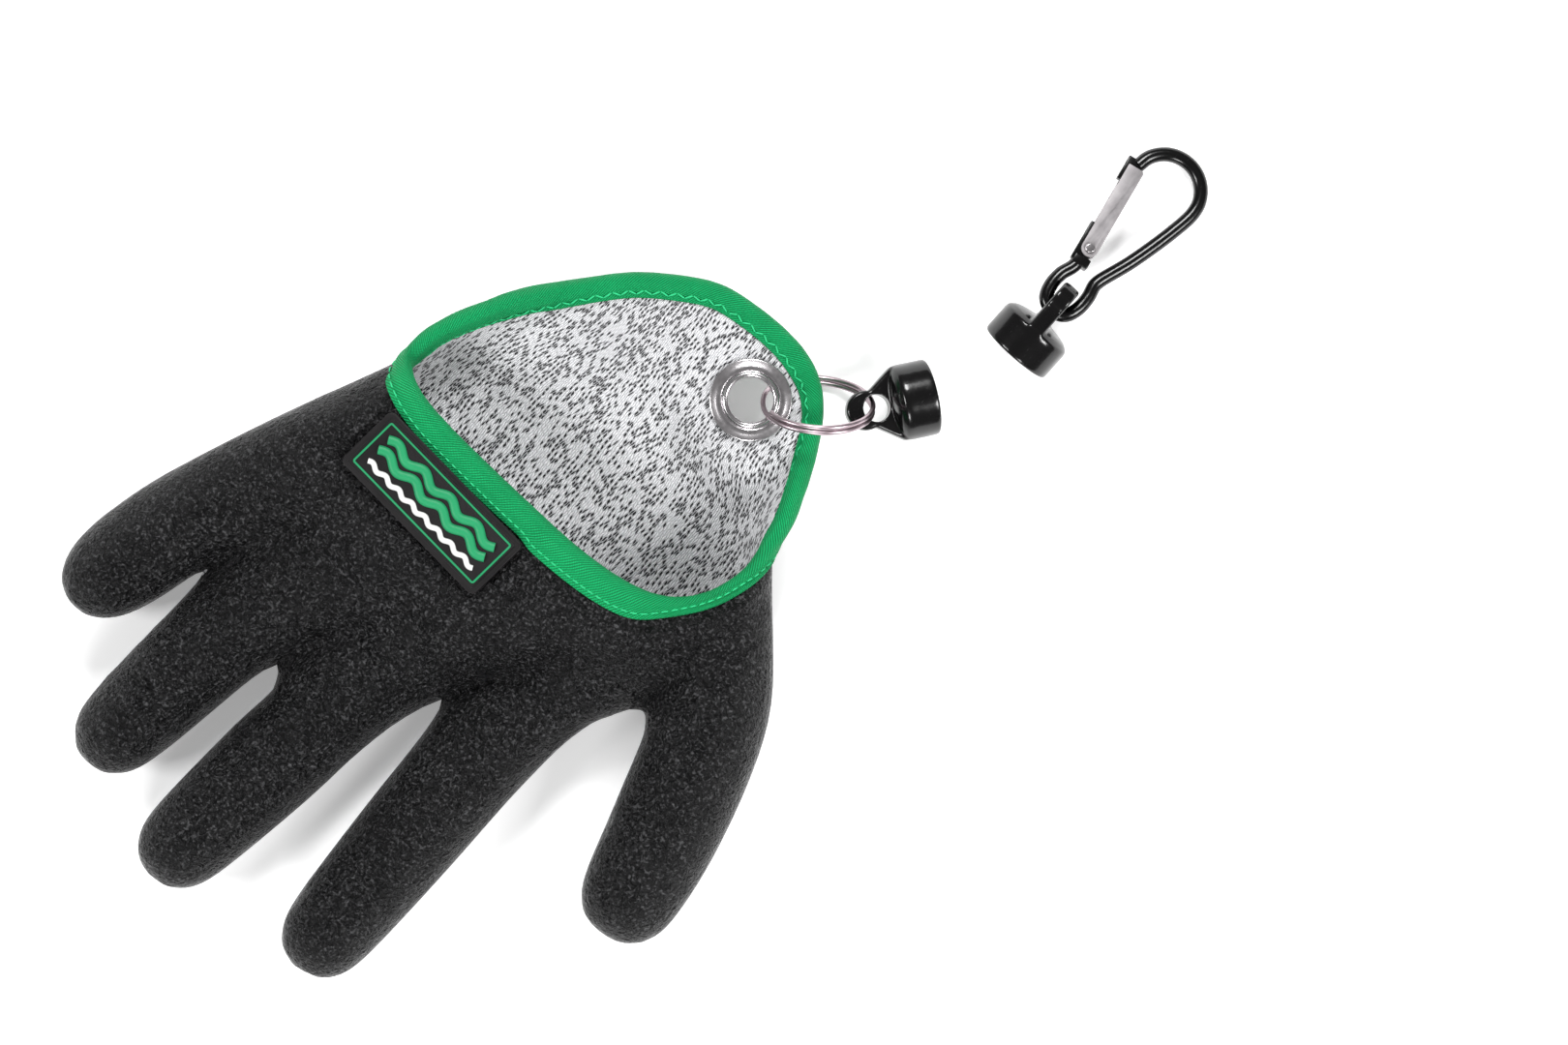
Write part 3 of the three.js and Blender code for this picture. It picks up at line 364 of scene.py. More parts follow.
def arc(centre: Pair, radius: float, start: float, end: float, steps: int) -> list[Pair]:
    """Points of a flat arc; the angles are in degrees."""
    angles = [math.radians(start + (end - start) * k / steps) for k in range(steps + 1)]
    return [(centre[0] + radius * math.cos(a), centre[1] + radius * math.sin(a)) for a in angles]


def mix(a: float, b: float, share: float) -> float:
    """A value between two others."""
    return a + (b - a) * share


def eased(value: float) -> float:
    """A smooth step from 0 to 1."""
    share = min(1.0, max(0.0, value))
    return share * share * (3.0 - 2.0 * share)


@dataclass(frozen=True)
class Ramp:
    """A smooth rise from 0 to 1 along a stretch, in metres."""

    start: float
    length: float

    def at(self, value: float) -> float:
        """How far the rise has come at a value."""
        return eased((value - self.start) / self.length)


def hand_over(piece: Object, finish: Material, body: Body, slot: str, *nodes: str) -> Object:
    """Dresses a finished piece and gives it to its body.

    Args:
        piece: The finished mesh object.
        finish: Its material.
        body: The body that it rides on.
        slot: The record's material slot; not used.
        nodes: The nodes that it stands for.

    Returns:
        The same object.
    """
    if not piece.data.materials:
        piece.data.materials.append(finish)
    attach(piece, body.value)
    if nodes:
        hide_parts(*nodes)
    LOG.info("%s: %d faces on %s", piece.name, len(piece.data.polygons), body.value)
    return piece


# Shaders


class Field:
    """A number in a shader tree, which takes part in plain arithmetic."""

    def __init__(self, tree: "ShaderTree", socket: NodeSocket) -> None:
        """Keeps the socket that gives the number."""
        self.tree = tree
        self.socket = socket

    def __add__(self, other: "Field | float") -> "Field":
        """Sum of two numbers."""
        return self.tree.calc("ADD", self, other)

    def __sub__(self, other: "Field | float") -> "Field":
        """Difference of two numbers."""
        return self.tree.calc("SUBTRACT", self, other)

    def __rsub__(self, other: float) -> "Field":
        """Difference from a plain number."""
        return self.tree.calc("SUBTRACT", other, self)

    def __mul__(self, other: "Field | float") -> "Field":
        """Product of two numbers."""
        return self.tree.calc("MULTIPLY", self, other)

    __radd__ = __add__
    __rmul__ = __mul__

    def whole(self) -> "Field":
        """The number rounded down."""
        return self.tree.calc("FLOOR", self)

    def part(self) -> "Field":
        """What is left of the number after rounding down."""
        return self.tree.calc("FRACT", self)

    def sine(self) -> "Field":
        """The sine of the number."""
        return self.tree.calc("SINE", self)

    def size(self) -> "Field":
        """The number without its sign."""
        return self.tree.calc("ABSOLUTE", self)

    def less(self, limit: "Field | float") -> "Field":
        """1 where the number is below a limit, else 0."""
        return self.tree.calc("LESS_THAN", self, limit)

    def power(self, exponent: float) -> "Field":
        """The number raised to an exponent."""
        return self.tree.calc("POWER", self, exponent)

    def step(self, low: float, high: float) -> "Field":
        """A smooth step from 0 at low to 1 at high.

        Args:
            low: Where the step starts.
            high: Where it ends.

        Returns:
            The step.
        """
        node = self.tree.node("ShaderNodeMapRange", interpolation_type="SMOOTHSTEP")
        node.inputs["From Min"].default_value = low
        node.inputs["From Max"].default_value = high
        self.tree.link(self.socket, node.inputs["Value"])
        return Field(self.tree, node.outputs["Result"])


class ShaderTree:
    """The node tree of one finish."""

    def __init__(self, name: str) -> None:
        """Starts a material with a bare principled shader.

        Args:
            name: Name of the material.
        """
        self.material: Material = bpy.data.materials.new(name)
        self.material.use_nodes = True
        self.tree = self.material.node_tree
        self.tree.nodes.clear()
        self.shader = self.node("ShaderNodeBsdfPrincipled")
        output = self.node("ShaderNodeOutputMaterial")
        self.link(self.shader.outputs["BSDF"], output.inputs["Surface"])

    def node(self, kind: str, **settings: object) -> bpy.types.Node:
        """Adds a node with its settings.

        Args:
            kind: The node's type.
            settings: Attributes to set on it.

        Returns:
            The node.
        """
        made = self.tree.nodes.new(kind)
        for key, value in settings.items():
            setattr(made, key, value)
        return made

    def link(self, source: NodeSocket, target: NodeSocket) -> None:
        """Links two sockets."""
        self.tree.links.new(source, target)

    def feed(self, value: "Field | float", target: NodeSocket) -> None:
        """Links a field to a socket, or sets a plain number on it.

        Args:
            value: A field or a plain number.
            target: The socket.
        """
        if isinstance(value, Field):
            self.link(value.socket, target)
        else:
            target.default_value = value

    def calc(self, operation: str, *values: "Field | float") -> Field:
        """Adds a Math node.

        Args:
            operation: The Math node's operation.
            values: What it works on.

        Returns:
            The result.
        """
        node = self.node("ShaderNodeMath", operation=operation)
        for value, target in zip(values, node.inputs):
            self.feed(value, target)
        return Field(self, node.outputs[0])

    def object_point(self) -> NodeSocket:
        """The point in object coordinates, in metres."""
        return self.node("ShaderNodeTexCoord").outputs["Object"]

    def surface_point(self) -> NodeSocket:
        """The point on the piece's own map, in metres."""
        return self.node("ShaderNodeUVMap", uv_map="surface").outputs["UV"]

    def split(self, vector: NodeSocket) -> tuple[Field, Field, Field]:
        """The three parts of a vector.

        Args:
            vector: The point or vector to start from.

        Returns:
            The parts along X, Y and Z.
        """
        node = self.node("ShaderNodeSeparateXYZ")
        self.link(vector, node.inputs[0])
        return tuple(Field(self, output) for output in node.outputs)

    def vector(self, x: "Field | float", y: "Field | float", z: "Field | float" = 0.0) -> NodeSocket:
        """A vector from its three parts.

        Args:
            x: Part along X.
            y: Part along Y.
            z: Part along Z.

        Returns:
            The vector.
        """
        node = self.node("ShaderNodeCombineXYZ")
        for value, target in zip((x, y, z), node.inputs):
            self.feed(value, target)
        return node.outputs[0]

    def stretched(self, vector: NodeSocket, scale: Triple) -> NodeSocket:
        """A vector scaled along each axis.

        Args:
            vector: The point or vector to start from.
            scale: Scale along each axis.

        Returns:
            The scaled vector.
        """
        node = self.node("ShaderNodeMapping")
        node.inputs["Scale"].default_value = scale
        self.link(vector, node.inputs["Vector"])
        return node.outputs["Vector"]

    def warped(self, vector: NodeSocket, scale: float, amount: float) -> NodeSocket:
        """A vector moved about by a coloured noise.

        Args:
            vector: The point or vector to start from.
            scale: How fine the pattern is, per metre.
            amount: Greatest move, in metres.

        Returns:
            The moved vector.
        """
        source = self.node("ShaderNodeTexNoise")
        source.inputs["Scale"].default_value = scale
        self.link(vector, source.inputs["Vector"])
        centred = self.node("ShaderNodeVectorMath", operation="SUBTRACT")
        centred.inputs[1].default_value = (0.5, 0.5, 0.5)
        self.link(source.outputs["Color"], centred.inputs[0])
        moved = self.node("ShaderNodeVectorMath", operation="MULTIPLY_ADD")
        moved.inputs[1].default_value = (amount, amount, amount)
        self.link(centred.outputs[0], moved.inputs[0])
        self.link(vector, moved.inputs[2])
        return moved.outputs[0]

    def noise(
        self, vector: NodeSocket, scale: float, detail: float = 2.0, distortion: float = 0.0
    ) -> Field:
        """A noise between 0 and 1.

        Args:
            vector: The point or vector to start from.
            scale: How fine the pattern is, per metre.
            detail: Octaves.
            distortion: How much it is bent.

        Returns:
            The noise.
        """
        node = self.node("ShaderNodeTexNoise")
        node.inputs["Scale"].default_value = scale
        node.inputs["Detail"].default_value = detail
        node.inputs["Distortion"].default_value = distortion
        self.link(vector, node.inputs["Vector"])
        return Field(self, node.outputs[0])

    def cells(self, vector: NodeSocket, scale: float, smoothness: float = 0.4) -> Field:
        """Distance to the nearest of many scattered points.

        Args:
            vector: The point or vector to start from.
            scale: How fine the pattern is, per metre.
            smoothness: How far neighbouring cells flow together.

        Returns:
            The distance.
        """
        node = self.node("ShaderNodeTexVoronoi", feature="SMOOTH_F1")
        node.inputs["Scale"].default_value = scale
        node.inputs["Smoothness"].default_value = smoothness
        self.link(vector, node.inputs["Vector"])
        return Field(self, node.outputs["Distance"])

    def paint(self, colour: NodeSocket) -> None:
        """Feeds the shader's base colour."""
        self.link(colour, self.shader.inputs["Base Color"])

    def roughen(self, value: Field) -> None:
        """Feeds the shader's roughness."""
        self.feed(value, self.shader.inputs["Roughness"])

    def chance(self, x: Field, y: Field) -> Field:
        """One even random number for each pair of whole numbers.

        Args:
            x: The first whole number.
            y: The second.

        Returns:
            A number from 0 to 1.
        """
        node = self.node("ShaderNodeTexWhiteNoise", noise_dimensions="2D")
        self.link(self.vector(x, y), node.inputs["Vector"])
        return Field(self, node.outputs["Value"])

    def blend(self, share: Field, low: Sequence[float], high: Sequence[float]) -> NodeSocket:
        """A colour between two plain colours.

        Args:
            share: The share, from 0 to 1.
            low: The colour at 0.
            high: The colour at 1.

        Returns:
            The mixed colour.
        """
        node = self.node("ShaderNodeMix", data_type="RGBA", clamp_factor=True)
        self.link(share.socket, node.inputs["Factor"])
        node.inputs["A"].default_value = (*low, 1.0)
        node.inputs["B"].default_value = (*high, 1.0)
        return node.outputs["Result"]

    def over(self, share: Field, under: NodeSocket, top: Sequence[float]) -> NodeSocket:
        """A plain colour laid over another colour.

        Args:
            share: The share, from 0 to 1.
            under: The colour at 0.
            top: The colour at 1.

        Returns:
            The mixed colour.
        """
        node = self.node("ShaderNodeMix", data_type="RGBA", clamp_factor=True)
        self.link(share.socket, node.inputs["Factor"])
        self.link(under, node.inputs["A"])
        node.inputs["B"].default_value = (*top, 1.0)
        return node.outputs["Result"]

    def relief(self, height: Field, depth: float, strength: float = 1.0) -> None:
        """Bumps the surface by a height field, in metres.

        Args:
            height: The height field.
            depth: Depth of the relief, in metres.
            strength: Strength of the bump.
        """
        node = self.node("ShaderNodeBump")
        node.inputs["Strength"].default_value = strength
        node.inputs["Distance"].default_value = depth
        self.link(height.socket, node.inputs["Height"])
        self.link(node.outputs["Normal"], self.shader.inputs["Normal"])

    def set(self, **values: object) -> None:
        """Sets plain values on the shader's own sockets; _ in a name stands for a space.

        Args:
            values: A value for each socket.
        """
        for key, value in values.items():
            target = self.shader.inputs[key.replace("_", " ")]
            if isinstance(value, (tuple, list)) and len(value) == 3:
                value = (*value, 1.0)
            target.default_value = value


# Finishes


@dataclass(frozen=True)
class CrinkledLatex:
    """Black latex that was crinkled while it dried: short matt ridges painted lighter than their
    valleys as painted highlight and shade, with dull glints painted into the colour as light grey
    specks.
    """

    # low is the black of the crinkle's valleys, darkened as painted shade; high is the lighter colour
    # of its ridges, a painted highlight; glint is the colour of the painted glints.
    low: Triple = (0.0012, 0.0012, 0.0013)
    high: Triple = (0.0085, 0.0085, 0.0090)
    glint: Triple = (0.075, 0.075, 0.078)
    crinkle: float = 620.0
    grain: float = 1500.0
    depth: float = 1.25 * MM

    def build(self) -> Material:
        """Makes the material.

        Returns:
            The material.
        """
        tree = ShaderTree("crinkled_latex")
        point = tree.object_point()
        warped = tree.warped(point, 420.0, 1.1 * MM)
        ridges = 1.0 - (tree.noise(warped, self.crinkle, 2.0, 0.6) - 0.5).size() * 2.0
        pads = tree.cells(warped, self.crinkle * 1.15)
        grain = tree.noise(point, self.grain, 2.0)
        patches = tree.noise(point, 60.0, 2.0)
        height = ridges.power(2.0) * 0.65 + pads * 0.45 + grain * 0.22
        # Painted highlight and shade: the ridges are painted towards high and the valleys towards low;
        # grain and patches add random tone.
        painted_light_and_grain = (ridges.power(3.0) * 0.55 + grain * 0.35) * (patches * 0.8 + 0.45)
        # Painted glints: light grey specks laid over the colour where the ridges and a fine noise run
        # high.
        painted_glints = (ridges * 0.55 + tree.noise(warped, self.grain * 0.85, 1.0) * 0.75).step(0.86, 1.08)
        colour = tree.blend(painted_light_and_grain, self.low, self.high)
        tree.paint(tree.over(painted_glints * (patches * 1.1 + 0.15), colour, self.glint))
        tree.roughen(0.17 + 0.16 * patches.step(0.3, 0.7))
        tree.set(Specular_IOR_Level=0.14)
        tree.relief(height, self.depth)
        return tree.material


@dataclass(frozen=True)
class MelangeKnit:
    """Grey melange knit: slanted loops in wales along the hand, flecked with black yarn, with painted
    shade at the edges of each loop.
    """

    wale: float = 0.66 * MM
    course: float = 1.75 * MM
    slant: float = 0.55
    lean: float = 0.55
    fleck_width: float = 0.82
    dark_share: float = 0.28
    dark_arm: float = 0.22
    yarn: Triple = (0.80, 0.80, 0.82)
    shade: Triple = (0.36, 0.36, 0.38)
    fleck: Triple = (0.012, 0.012, 0.013)
    depth: float = 0.35 * MM

    def build(self) -> Material:
        """Makes the material.

        Returns:
            The material.
        """
        tree = ShaderTree("melange_knit")
        point = tree.warped(tree.warped(tree.surface_point(), 130.0, 1.5 * MM), 760.0, 0.58 * MM)
        across, along, _ = tree.split(point)
        column = across * (1.0 / self.wale)
        arm = (column * 0.5).part().less(0.5)
        side = arm * 2.0 - 1.0
        within = column.part() - 0.5
        row = along * (1.0 / self.course) + side * within * self.slant
        row = row + tree.chance(column.whole(), column.whole() * 0.0) * 0.9
        up = row.part() - 0.5
        loop = (1.0 - (within * 2.0).size().power(2.2)) * (1.0 - (up * 2.0).size().power(4.0) * 0.75)
        strength = tree.noise(tree.surface_point(), 55.0, 2.0) * 0.35 - 0.17
        limit = strength + self.dark_share + arm * self.dark_arm
        dark = tree.chance(column.whole(), row.whole()).less(limit)
        leaning = within - up * (self.lean * 0.5)
        core = 1.0 - (leaning * (2.0 / self.fleck_width)).size().step(0.62, 1.05)
        mask = dark * core * (1.0 - (up * 2.0).size().step(0.66, 0.95))
        cloud = tree.noise(point, 1400.0, 2.0)
        # Painted shade: each loop is painted yarn colour in its middle and darker, towards the shade
        # colour, at its edges and ends; the cloud adds random tone.
        colour = tree.blend(loop * 0.75 + cloud * 0.35, self.shade, self.yarn)
        tree.paint(tree.over(mask, colour, self.fleck))
        tree.set(Roughness=0.88, Specular_IOR_Level=0.25, Sheen_Weight=0.15)
        tree.relief(loop * 0.8 + cloud * 0.25, self.depth)
        return tree.material


@dataclass(frozen=True)
class TwillTape:
    """Green twill tape: fine slanted ribs with a light shine where the threads cross, painted into the
    colour as lighter green on the ribs and crossings and darker green between them, and also given by
    lower roughness there.
    """

    rib: float = 0.74 * MM
    # low is the painted shade between the ribs, high the painted highlight on the ribs and where the
    # threads cross.
    low: Triple = (0.0004, 0.085, 0.022)
    high: Triple = (0.0040, 0.47, 0.150)
    depth: float = 0.34 * MM

    def build(self) -> Material:
        """Makes the material.

        Returns:
            The material.
        """
        tree = ShaderTree("twill_tape")
        point = tree.warped(tree.surface_point(), 260.0, 0.12 * MM)
        along, across, _ = tree.split(point)
        turn = 2.0 * math.pi / self.rib
        ribs = ((along * 0.80 + across * 0.95) * turn).sine() * 0.5 + 0.5
        threads = ((along * 0.9 - across * 1.0) * (turn * 1.55)).sine() * 0.5 + 0.5
        cloud = tree.noise(tree.surface_point(), 130.0, 2.0)
        fuzz = tree.noise(tree.surface_point(), 2600.0, 2.0)
        # Painted highlight and shade: rib crests and thread crossings are painted towards high, the
        # grooves towards low; cloud and fuzz add random tone.
        painted_light_and_grain = ribs * threads * 1.15 + ribs * 0.20 + cloud * 0.24 + fuzz * 0.12
        tree.paint(tree.blend(painted_light_and_grain, self.low, self.high))
        tree.roughen(0.62 - threads * ribs * 0.24)
        tree.set(Specular_IOR_Level=0.20)
        tree.relief(ribs * 0.7 + threads * 0.3 + fuzz * 0.2, self.depth)
        return tree.material


@dataclass(frozen=True)
class Thread:
    """Sewing thread: a twisted yarn with a soft shine."""

    name: str
    color: Triple

    def build(self) -> Material:
        """Makes the material.

        Returns:
            The material.
        """
        tree = ShaderTree(self.name)
        point = tree.object_point()
        twist = tree.noise(point, 2400.0, 1.0)
        dull = tuple(0.45 * value for value in self.color)
        tree.paint(tree.blend(twist * 1.3, dull, self.color))
        tree.set(Roughness=0.55, Specular_IOR_Level=0.4)
        tree.relief(twist, 0.1 * MM)
        return tree.material


@dataclass(frozen=True)
class MouldedRubber:
    """Soft moulded rubber with a fine satin grain."""

    name: str
    low: Triple
    high: Triple
    roughness: float = 0.42

    def build(self) -> Material:
        """Makes the material.

        Returns:
            The material.
        """
        tree = ShaderTree(self.name)
        point = tree.object_point()
        grain = tree.noise(point, 2200.0, 2.0)
        cloud = tree.noise(point, 180.0, 2.0)
        tree.paint(tree.blend(cloud * 0.7 + grain * 0.3, self.low, self.high))
        tree.roughen(self.roughness + cloud * 0.12)
        tree.set(Specular_IOR_Level=0.25)
        tree.relief(grain, 0.05 * MM)
        return tree.material


@dataclass(frozen=True)
class PolishedMetal:
    """Plated or bare metal with faint drawing lines and handling marks."""

    name: str
    low: Triple
    high: Triple
    roughness: float
    marks: float = 0.10
    lines: Triple = (900.0, 900.0, 900.0)

    def build(self) -> Material:
        """Makes the material.

        Returns:
            The material.
        """
        tree = ShaderTree(self.name)
        point = tree.object_point()
        fine = tree.noise(tree.stretched(point, self.lines), 1.0, 2.0)
        cloud = tree.noise(point, 260.0, 3.0)
        tree.paint(tree.blend(cloud * 0.8 + fine * 0.3, self.low, self.high))
        tree.roughen(self.roughness + fine * self.marks + cloud * 0.05)
        tree.set(Metallic=1.0)
        tree.relief(fine, 0.012 * MM)
        return tree.material


@dataclass(frozen=True)
class GlossBlack:
    """Glossy black plastic or enamel, slightly uneven, with fine scuffs."""

    name: str
    base: Triple
    worn: Triple
    roughness: float
    coat: float

    def build(self) -> Material:
        """Makes the material.

        Returns:
            The material.
        """
        tree = ShaderTree(self.name)
        point = tree.object_point()
        cloud = tree.noise(point, 240.0, 3.0)
        scuff = tree.noise(tree.stretched(point, (3200.0, 500.0, 1600.0)), 1.0, 3.0)
        tree.paint(tree.blend(scuff.step(0.62, 0.80) * 0.7, self.base, self.worn))
        tree.roughen(self.roughness + cloud * 0.10 + scuff.step(0.6, 0.8) * 0.12)
        tree.set(Specular_IOR_Level=0.32, Coat_Weight=self.coat, Coat_Roughness=0.10)
        tree.relief(cloud + scuff * 0.15, 0.06 * MM)
        return tree.material


class Finishes:
    """Every finish of the glove, built once."""

    def __init__(self) -> None:
        """Builds the materials."""
        self.latex = CrinkledLatex().build()
        self.knit = MelangeKnit().build()
        self.tape = TwillTape().build()
        self.green_thread = Thread("green_thread", (0.020, 0.62, 0.24)).build()
        self.patch = MouldedRubber(
            "patch_rubber", (0.0055, 0.0050, 0.0053), (0.011, 0.010, 0.0105), 0.34
        ).build()
        self.patch_green = MouldedRubber(
            "patch_green", (0.012, 0.22, 0.085), (0.018, 0.29, 0.115), 0.38
        ).build()
        self.patch_white = MouldedRubber(
            "patch_white", (0.62, 0.62, 0.61), (0.75, 0.75, 0.74), 0.38
        ).build()
        self.steel = PolishedMetal(
            "eyelet_steel", (0.46, 0.43, 0.45), (0.72, 0.70, 0.71), 0.15
        ).build()
        self.nickel = PolishedMetal(
            "ring_nickel", (0.34, 0.26, 0.29), (0.58, 0.48, 0.52), 0.24
        ).build()
        self.clip = GlossBlack(
            "clip_gloss", (0.0022, 0.0020, 0.0022), (0.012, 0.011, 0.012), 0.15, 0.18
        ).build()
        self.enamel = GlossBlack(
            "carabiner_enamel", (0.0014, 0.0014, 0.0015), (0.010, 0.010, 0.010), 0.17, 0.08
        ).build()
        self.aluminium = PolishedMetal(
            "gate_aluminium", (0.17, 0.16, 0.165), (0.46, 0.44, 0.45), 0.40, 0.22,
            (2400.0, 420.0, 2400.0),
        ).build()
        self.magnet = PolishedMetal(
            "magnet_plate", (0.30, 0.30, 0.31), (0.50, 0.50, 0.51), 0.25
        ).build()


# The soft shells


def ruffled(piece: Object, rule: Callable[[Vector], float]) -> Object:
    """Moves each vertex along its own normal.

    Args:
        piece: The mesh object.
        rule: Gives the move in metres from a vertex's place.

    Returns:
        The same object.
    """
    mesh = piece.data
    moves = [vertex.normal * rule(vertex.co) for vertex in mesh.vertices]
    for vertex, move in zip(mesh.vertices, moves):
        vertex.co += move
    mesh.update()
    return piece


def surface_map(piece: Object, rule: Callable[[Vector], Pair]) -> Object:
    """Gives a piece its own map, with one unit to a metre, and returns it.

    Args:
        piece: The mesh object.
        rule: Gives the place on the map from a vertex's place.

    Returns:
        The same object.
    """
    mesh = piece.data
    layer = mesh.uv_layers.new(name="surface")
    places = [rule(vertex.co) for vertex in mesh.vertices]
    for loop in mesh.loops:
        layer.data[loop.index].uv = places[loop.vertex_index]
    return piece


def wall_tree(piece: Object) -> BVHTree:
    """A search tree over a piece's faces."""
    mesh = piece.data
    return BVHTree.FromPolygons([v.co for v in mesh.vertices], [p.vertices[:] for p in mesh.polygons])


@dataclass
class Coat:
    """The dipped coat: the palm, fingers, thumb and flap with their soft lumps and folds."""

    levels: int = 2
    lump: float = 0.35 * MM
    lump_size: float = 9.0 * MM
    pucker: float = 0.16 * MM
    pucker_size: float = 3.2 * MM
    skin: float = 0.6 * MM

    def build(self) -> Object:
        """Makes the coat from the frame's own shell.

        Returns:
            The mesh object.
        """
        guide = merged_copy("knit_liner", "liner_guide")
        liner = wall_tree(guide)
        bpy.data.objects.remove(guide)
        coat = subdivide(merged_copy("latex_coat", "coat"), self.levels)

        def rule(point: Vector) -> float:
            """Lumps on the outer face, none on the hidden one.

            Args:
                point: The vertex's place.

            Returns:
                The move along the normal, in metres.
            """
            _, _, _, distance = liner.find_nearest(point)
            outside = eased((distance - self.skin) / self.skin)
            broad = noise.fractal(point / self.lump_size, 0.8, 2.0, 2)
            fine = noise.fractal(point / self.pucker_size, 0.8, 2.0, 2)
            return outside * (self.lump * broad + self.pucker * fine)

        ruffled(coat, rule)
        smooth_by_angle(coat, 180.0)
        return coat

    def dress(self, finishes: Finishes) -> Object:
        """Builds and dresses the coat."""
        return hand_over(self.build(), finishes.latex, Body.GLOVE, "latex", "latex_coat")


@dataclass
class Liner:
    """The knitted liner, which shows in the mouth and on the flap."""

    levels: int = 2
    lump: float = 0.18 * MM
    lump_size: float = 11.0 * MM
    turn: float = math.radians(3.0)

    def place_on_map(self, point: Vector) -> Pair:
        """Map place of a point: across the wales and along them, laid flat at the curled sides.

        Args:
            point: The point, in metres.

        Returns:
            Its place on the map, in metres.
        """
        curl = eased(abs(point.x) / (40.0 * MM))
        across = point.x + math.copysign(1.0, point.x) * curl * point.z * 0.8
        along = point.y + point.z * 0.25
        cosine, sine = math.cos(self.turn), math.sin(self.turn)
        return across * cosine + along * sine, along * cosine - across * sine

    def build(self) -> Object:
        """Makes the liner from the frame's own shell.

        Returns:
            The mesh object.
        """
        liner = subdivide(merged_copy("knit_liner", "liner"), self.levels)
        ruffled(liner, lambda point: self.lump * noise.fractal(point / self.lump_size, 0.8, 2.0, 2))
        surface_map(liner, self.place_on_map)
        return smooth_by_angle(liner, 180.0)

    def dress(self, finishes: Finishes) -> Object:
        """Builds and dresses the liner."""
        return hand_over(self.build(), finishes.knit, Body.GLOVE, "knit", "knit_liner")


# Binding


@dataclass
class RimStation:
    """One place on the rim: a point in the middle of the wall and its own directions."""

    point: Vector
    outward: Vector
    inward: Vector


def rim_line(count: int, skin: float = 0.8 * MM, clear: float = 11.0 * MM) -> list[RimStation]:
    """Reads the rim of the mouth and flap from the coat's shell and smooths it.

    Args:
        count: Number of stations round the rim.
        skin: Distance from the liner beyond which a vertex is on the outer face.
        clear: Distance from the eyelet's middle within which edges belong to its hole.

    Returns:
        The stations, evenly spaced.
    """
    coat = merged_copy("latex_coat", "rim_guide", quads=False)
    liner = merged_copy("knit_liner", "rim_liner_guide", quads=False)
    tree = wall_tree(liner)
    low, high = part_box("eyelet_flange")
    eyelet = (Vector(low) + Vector(high)) * 0.5
    shape = bmesh.new()
    shape.from_mesh(coat.data)
    shape.normal_update()
    outer = {v for v in shape.verts if tree.find_nearest(v.co)[3] > skin}
    links: dict[bmesh.types.BMVert, list[bmesh.types.BMVert]] = {}
    for edge in shape.edges:
        near_hole = any((v.co.xy - eyelet.xy).length < clear for v in edge.verts)
        if near_hole or not all(v in outer for v in edge.verts):
            continue
        inner_side = [f for f in edge.link_faces if any(v not in outer for v in f.verts)]
        if len(inner_side) == 1:
            a, b = edge.verts
            links.setdefault(a, []).append(b)
            links.setdefault(b, []).append(a)
    start = next(iter(links))
    chain = [start]
    previous, current = None, start
    while True:
        following = next((v for v in links[current] if v is not previous), None)
        if following is None or following is start:
            break
        chain.append(following)
        previous, current = current, following
    stations = []
    size = len(chain)
    for k, vertex in enumerate(chain):
        faces = [f for f in vertex.link_faces if all(v in outer for v in f.verts)]
        normal = sum((f.normal * f.calc_area() for f in faces), Vector()).normalized()
        along = (chain[(k + 1) % size].co - chain[k - 1].co).normalized()
        middle = sum((f.calc_center_median() for f in faces), Vector()) / len(faces)
        inward = normal.cross(along)
        if inward.dot(middle - vertex.co) < 0.0:
            inward.negate()
        stations.append(RimStation(vertex.co - normal * HALF_WALL, normal, inward.normalized()))
    shape.free()
    for guide in (coat, liner):
        bpy.data.objects.remove(guide)
    return spaced(stations, count)


def spaced(stations: list[RimStation], count: int) -> list[RimStation]:
    """Smooths a closed line of stations and spaces it evenly.

    Args:
        stations: The stations in order.
        count: Number of stations to give back.

    Returns:
        The new stations.
    """
    fine: list[RimStation] = []
    size = len(stations)
    steps = 14
    for k in range(size):
        four = [stations[(k + shift) % size] for shift in (-1, 0, 1, 2)]
        for step in range(steps):
            t = step / steps
            weights = (
                (1 - t) ** 3,
                3 * t**3 - 6 * t * t + 4,
                -3 * t**3 + 3 * t * t + 3 * t + 1,
                t**3,
            )
            blendings = [Vector(), Vector(), Vector()]
            for weight, station in zip(weights, four):
                for slot, value in enumerate((station.point, station.outward, station.inward)):
                    blendings[slot] += value * (weight / 6.0)
            point, outward, inward = blendings
            fine.append(RimStation(point, outward.normalized(), inward.normalized()))
    lengths = [0.0]
    for k in range(len(fine)):
        lengths.append(lengths[-1] + (fine[(k + 1) % len(fine)].point - fine[k].point).length)
    result = []
    cursor = 0
    for k in range(count):
        goal = lengths[-1] * k / count
        while lengths[cursor + 1] < goal:
            cursor += 1
        share = (goal - lengths[cursor]) / max(1e-9, lengths[cursor + 1] - lengths[cursor])
        a, b = fine[cursor], fine[(cursor + 1) % len(fine)]
        result.append(RimStation(
            a.point.lerp(b.point, share),
            a.outward.lerp(b.outward, share).normalized(),
            a.inward.lerp(b.inward, share).normalized(),
        ))
    return result


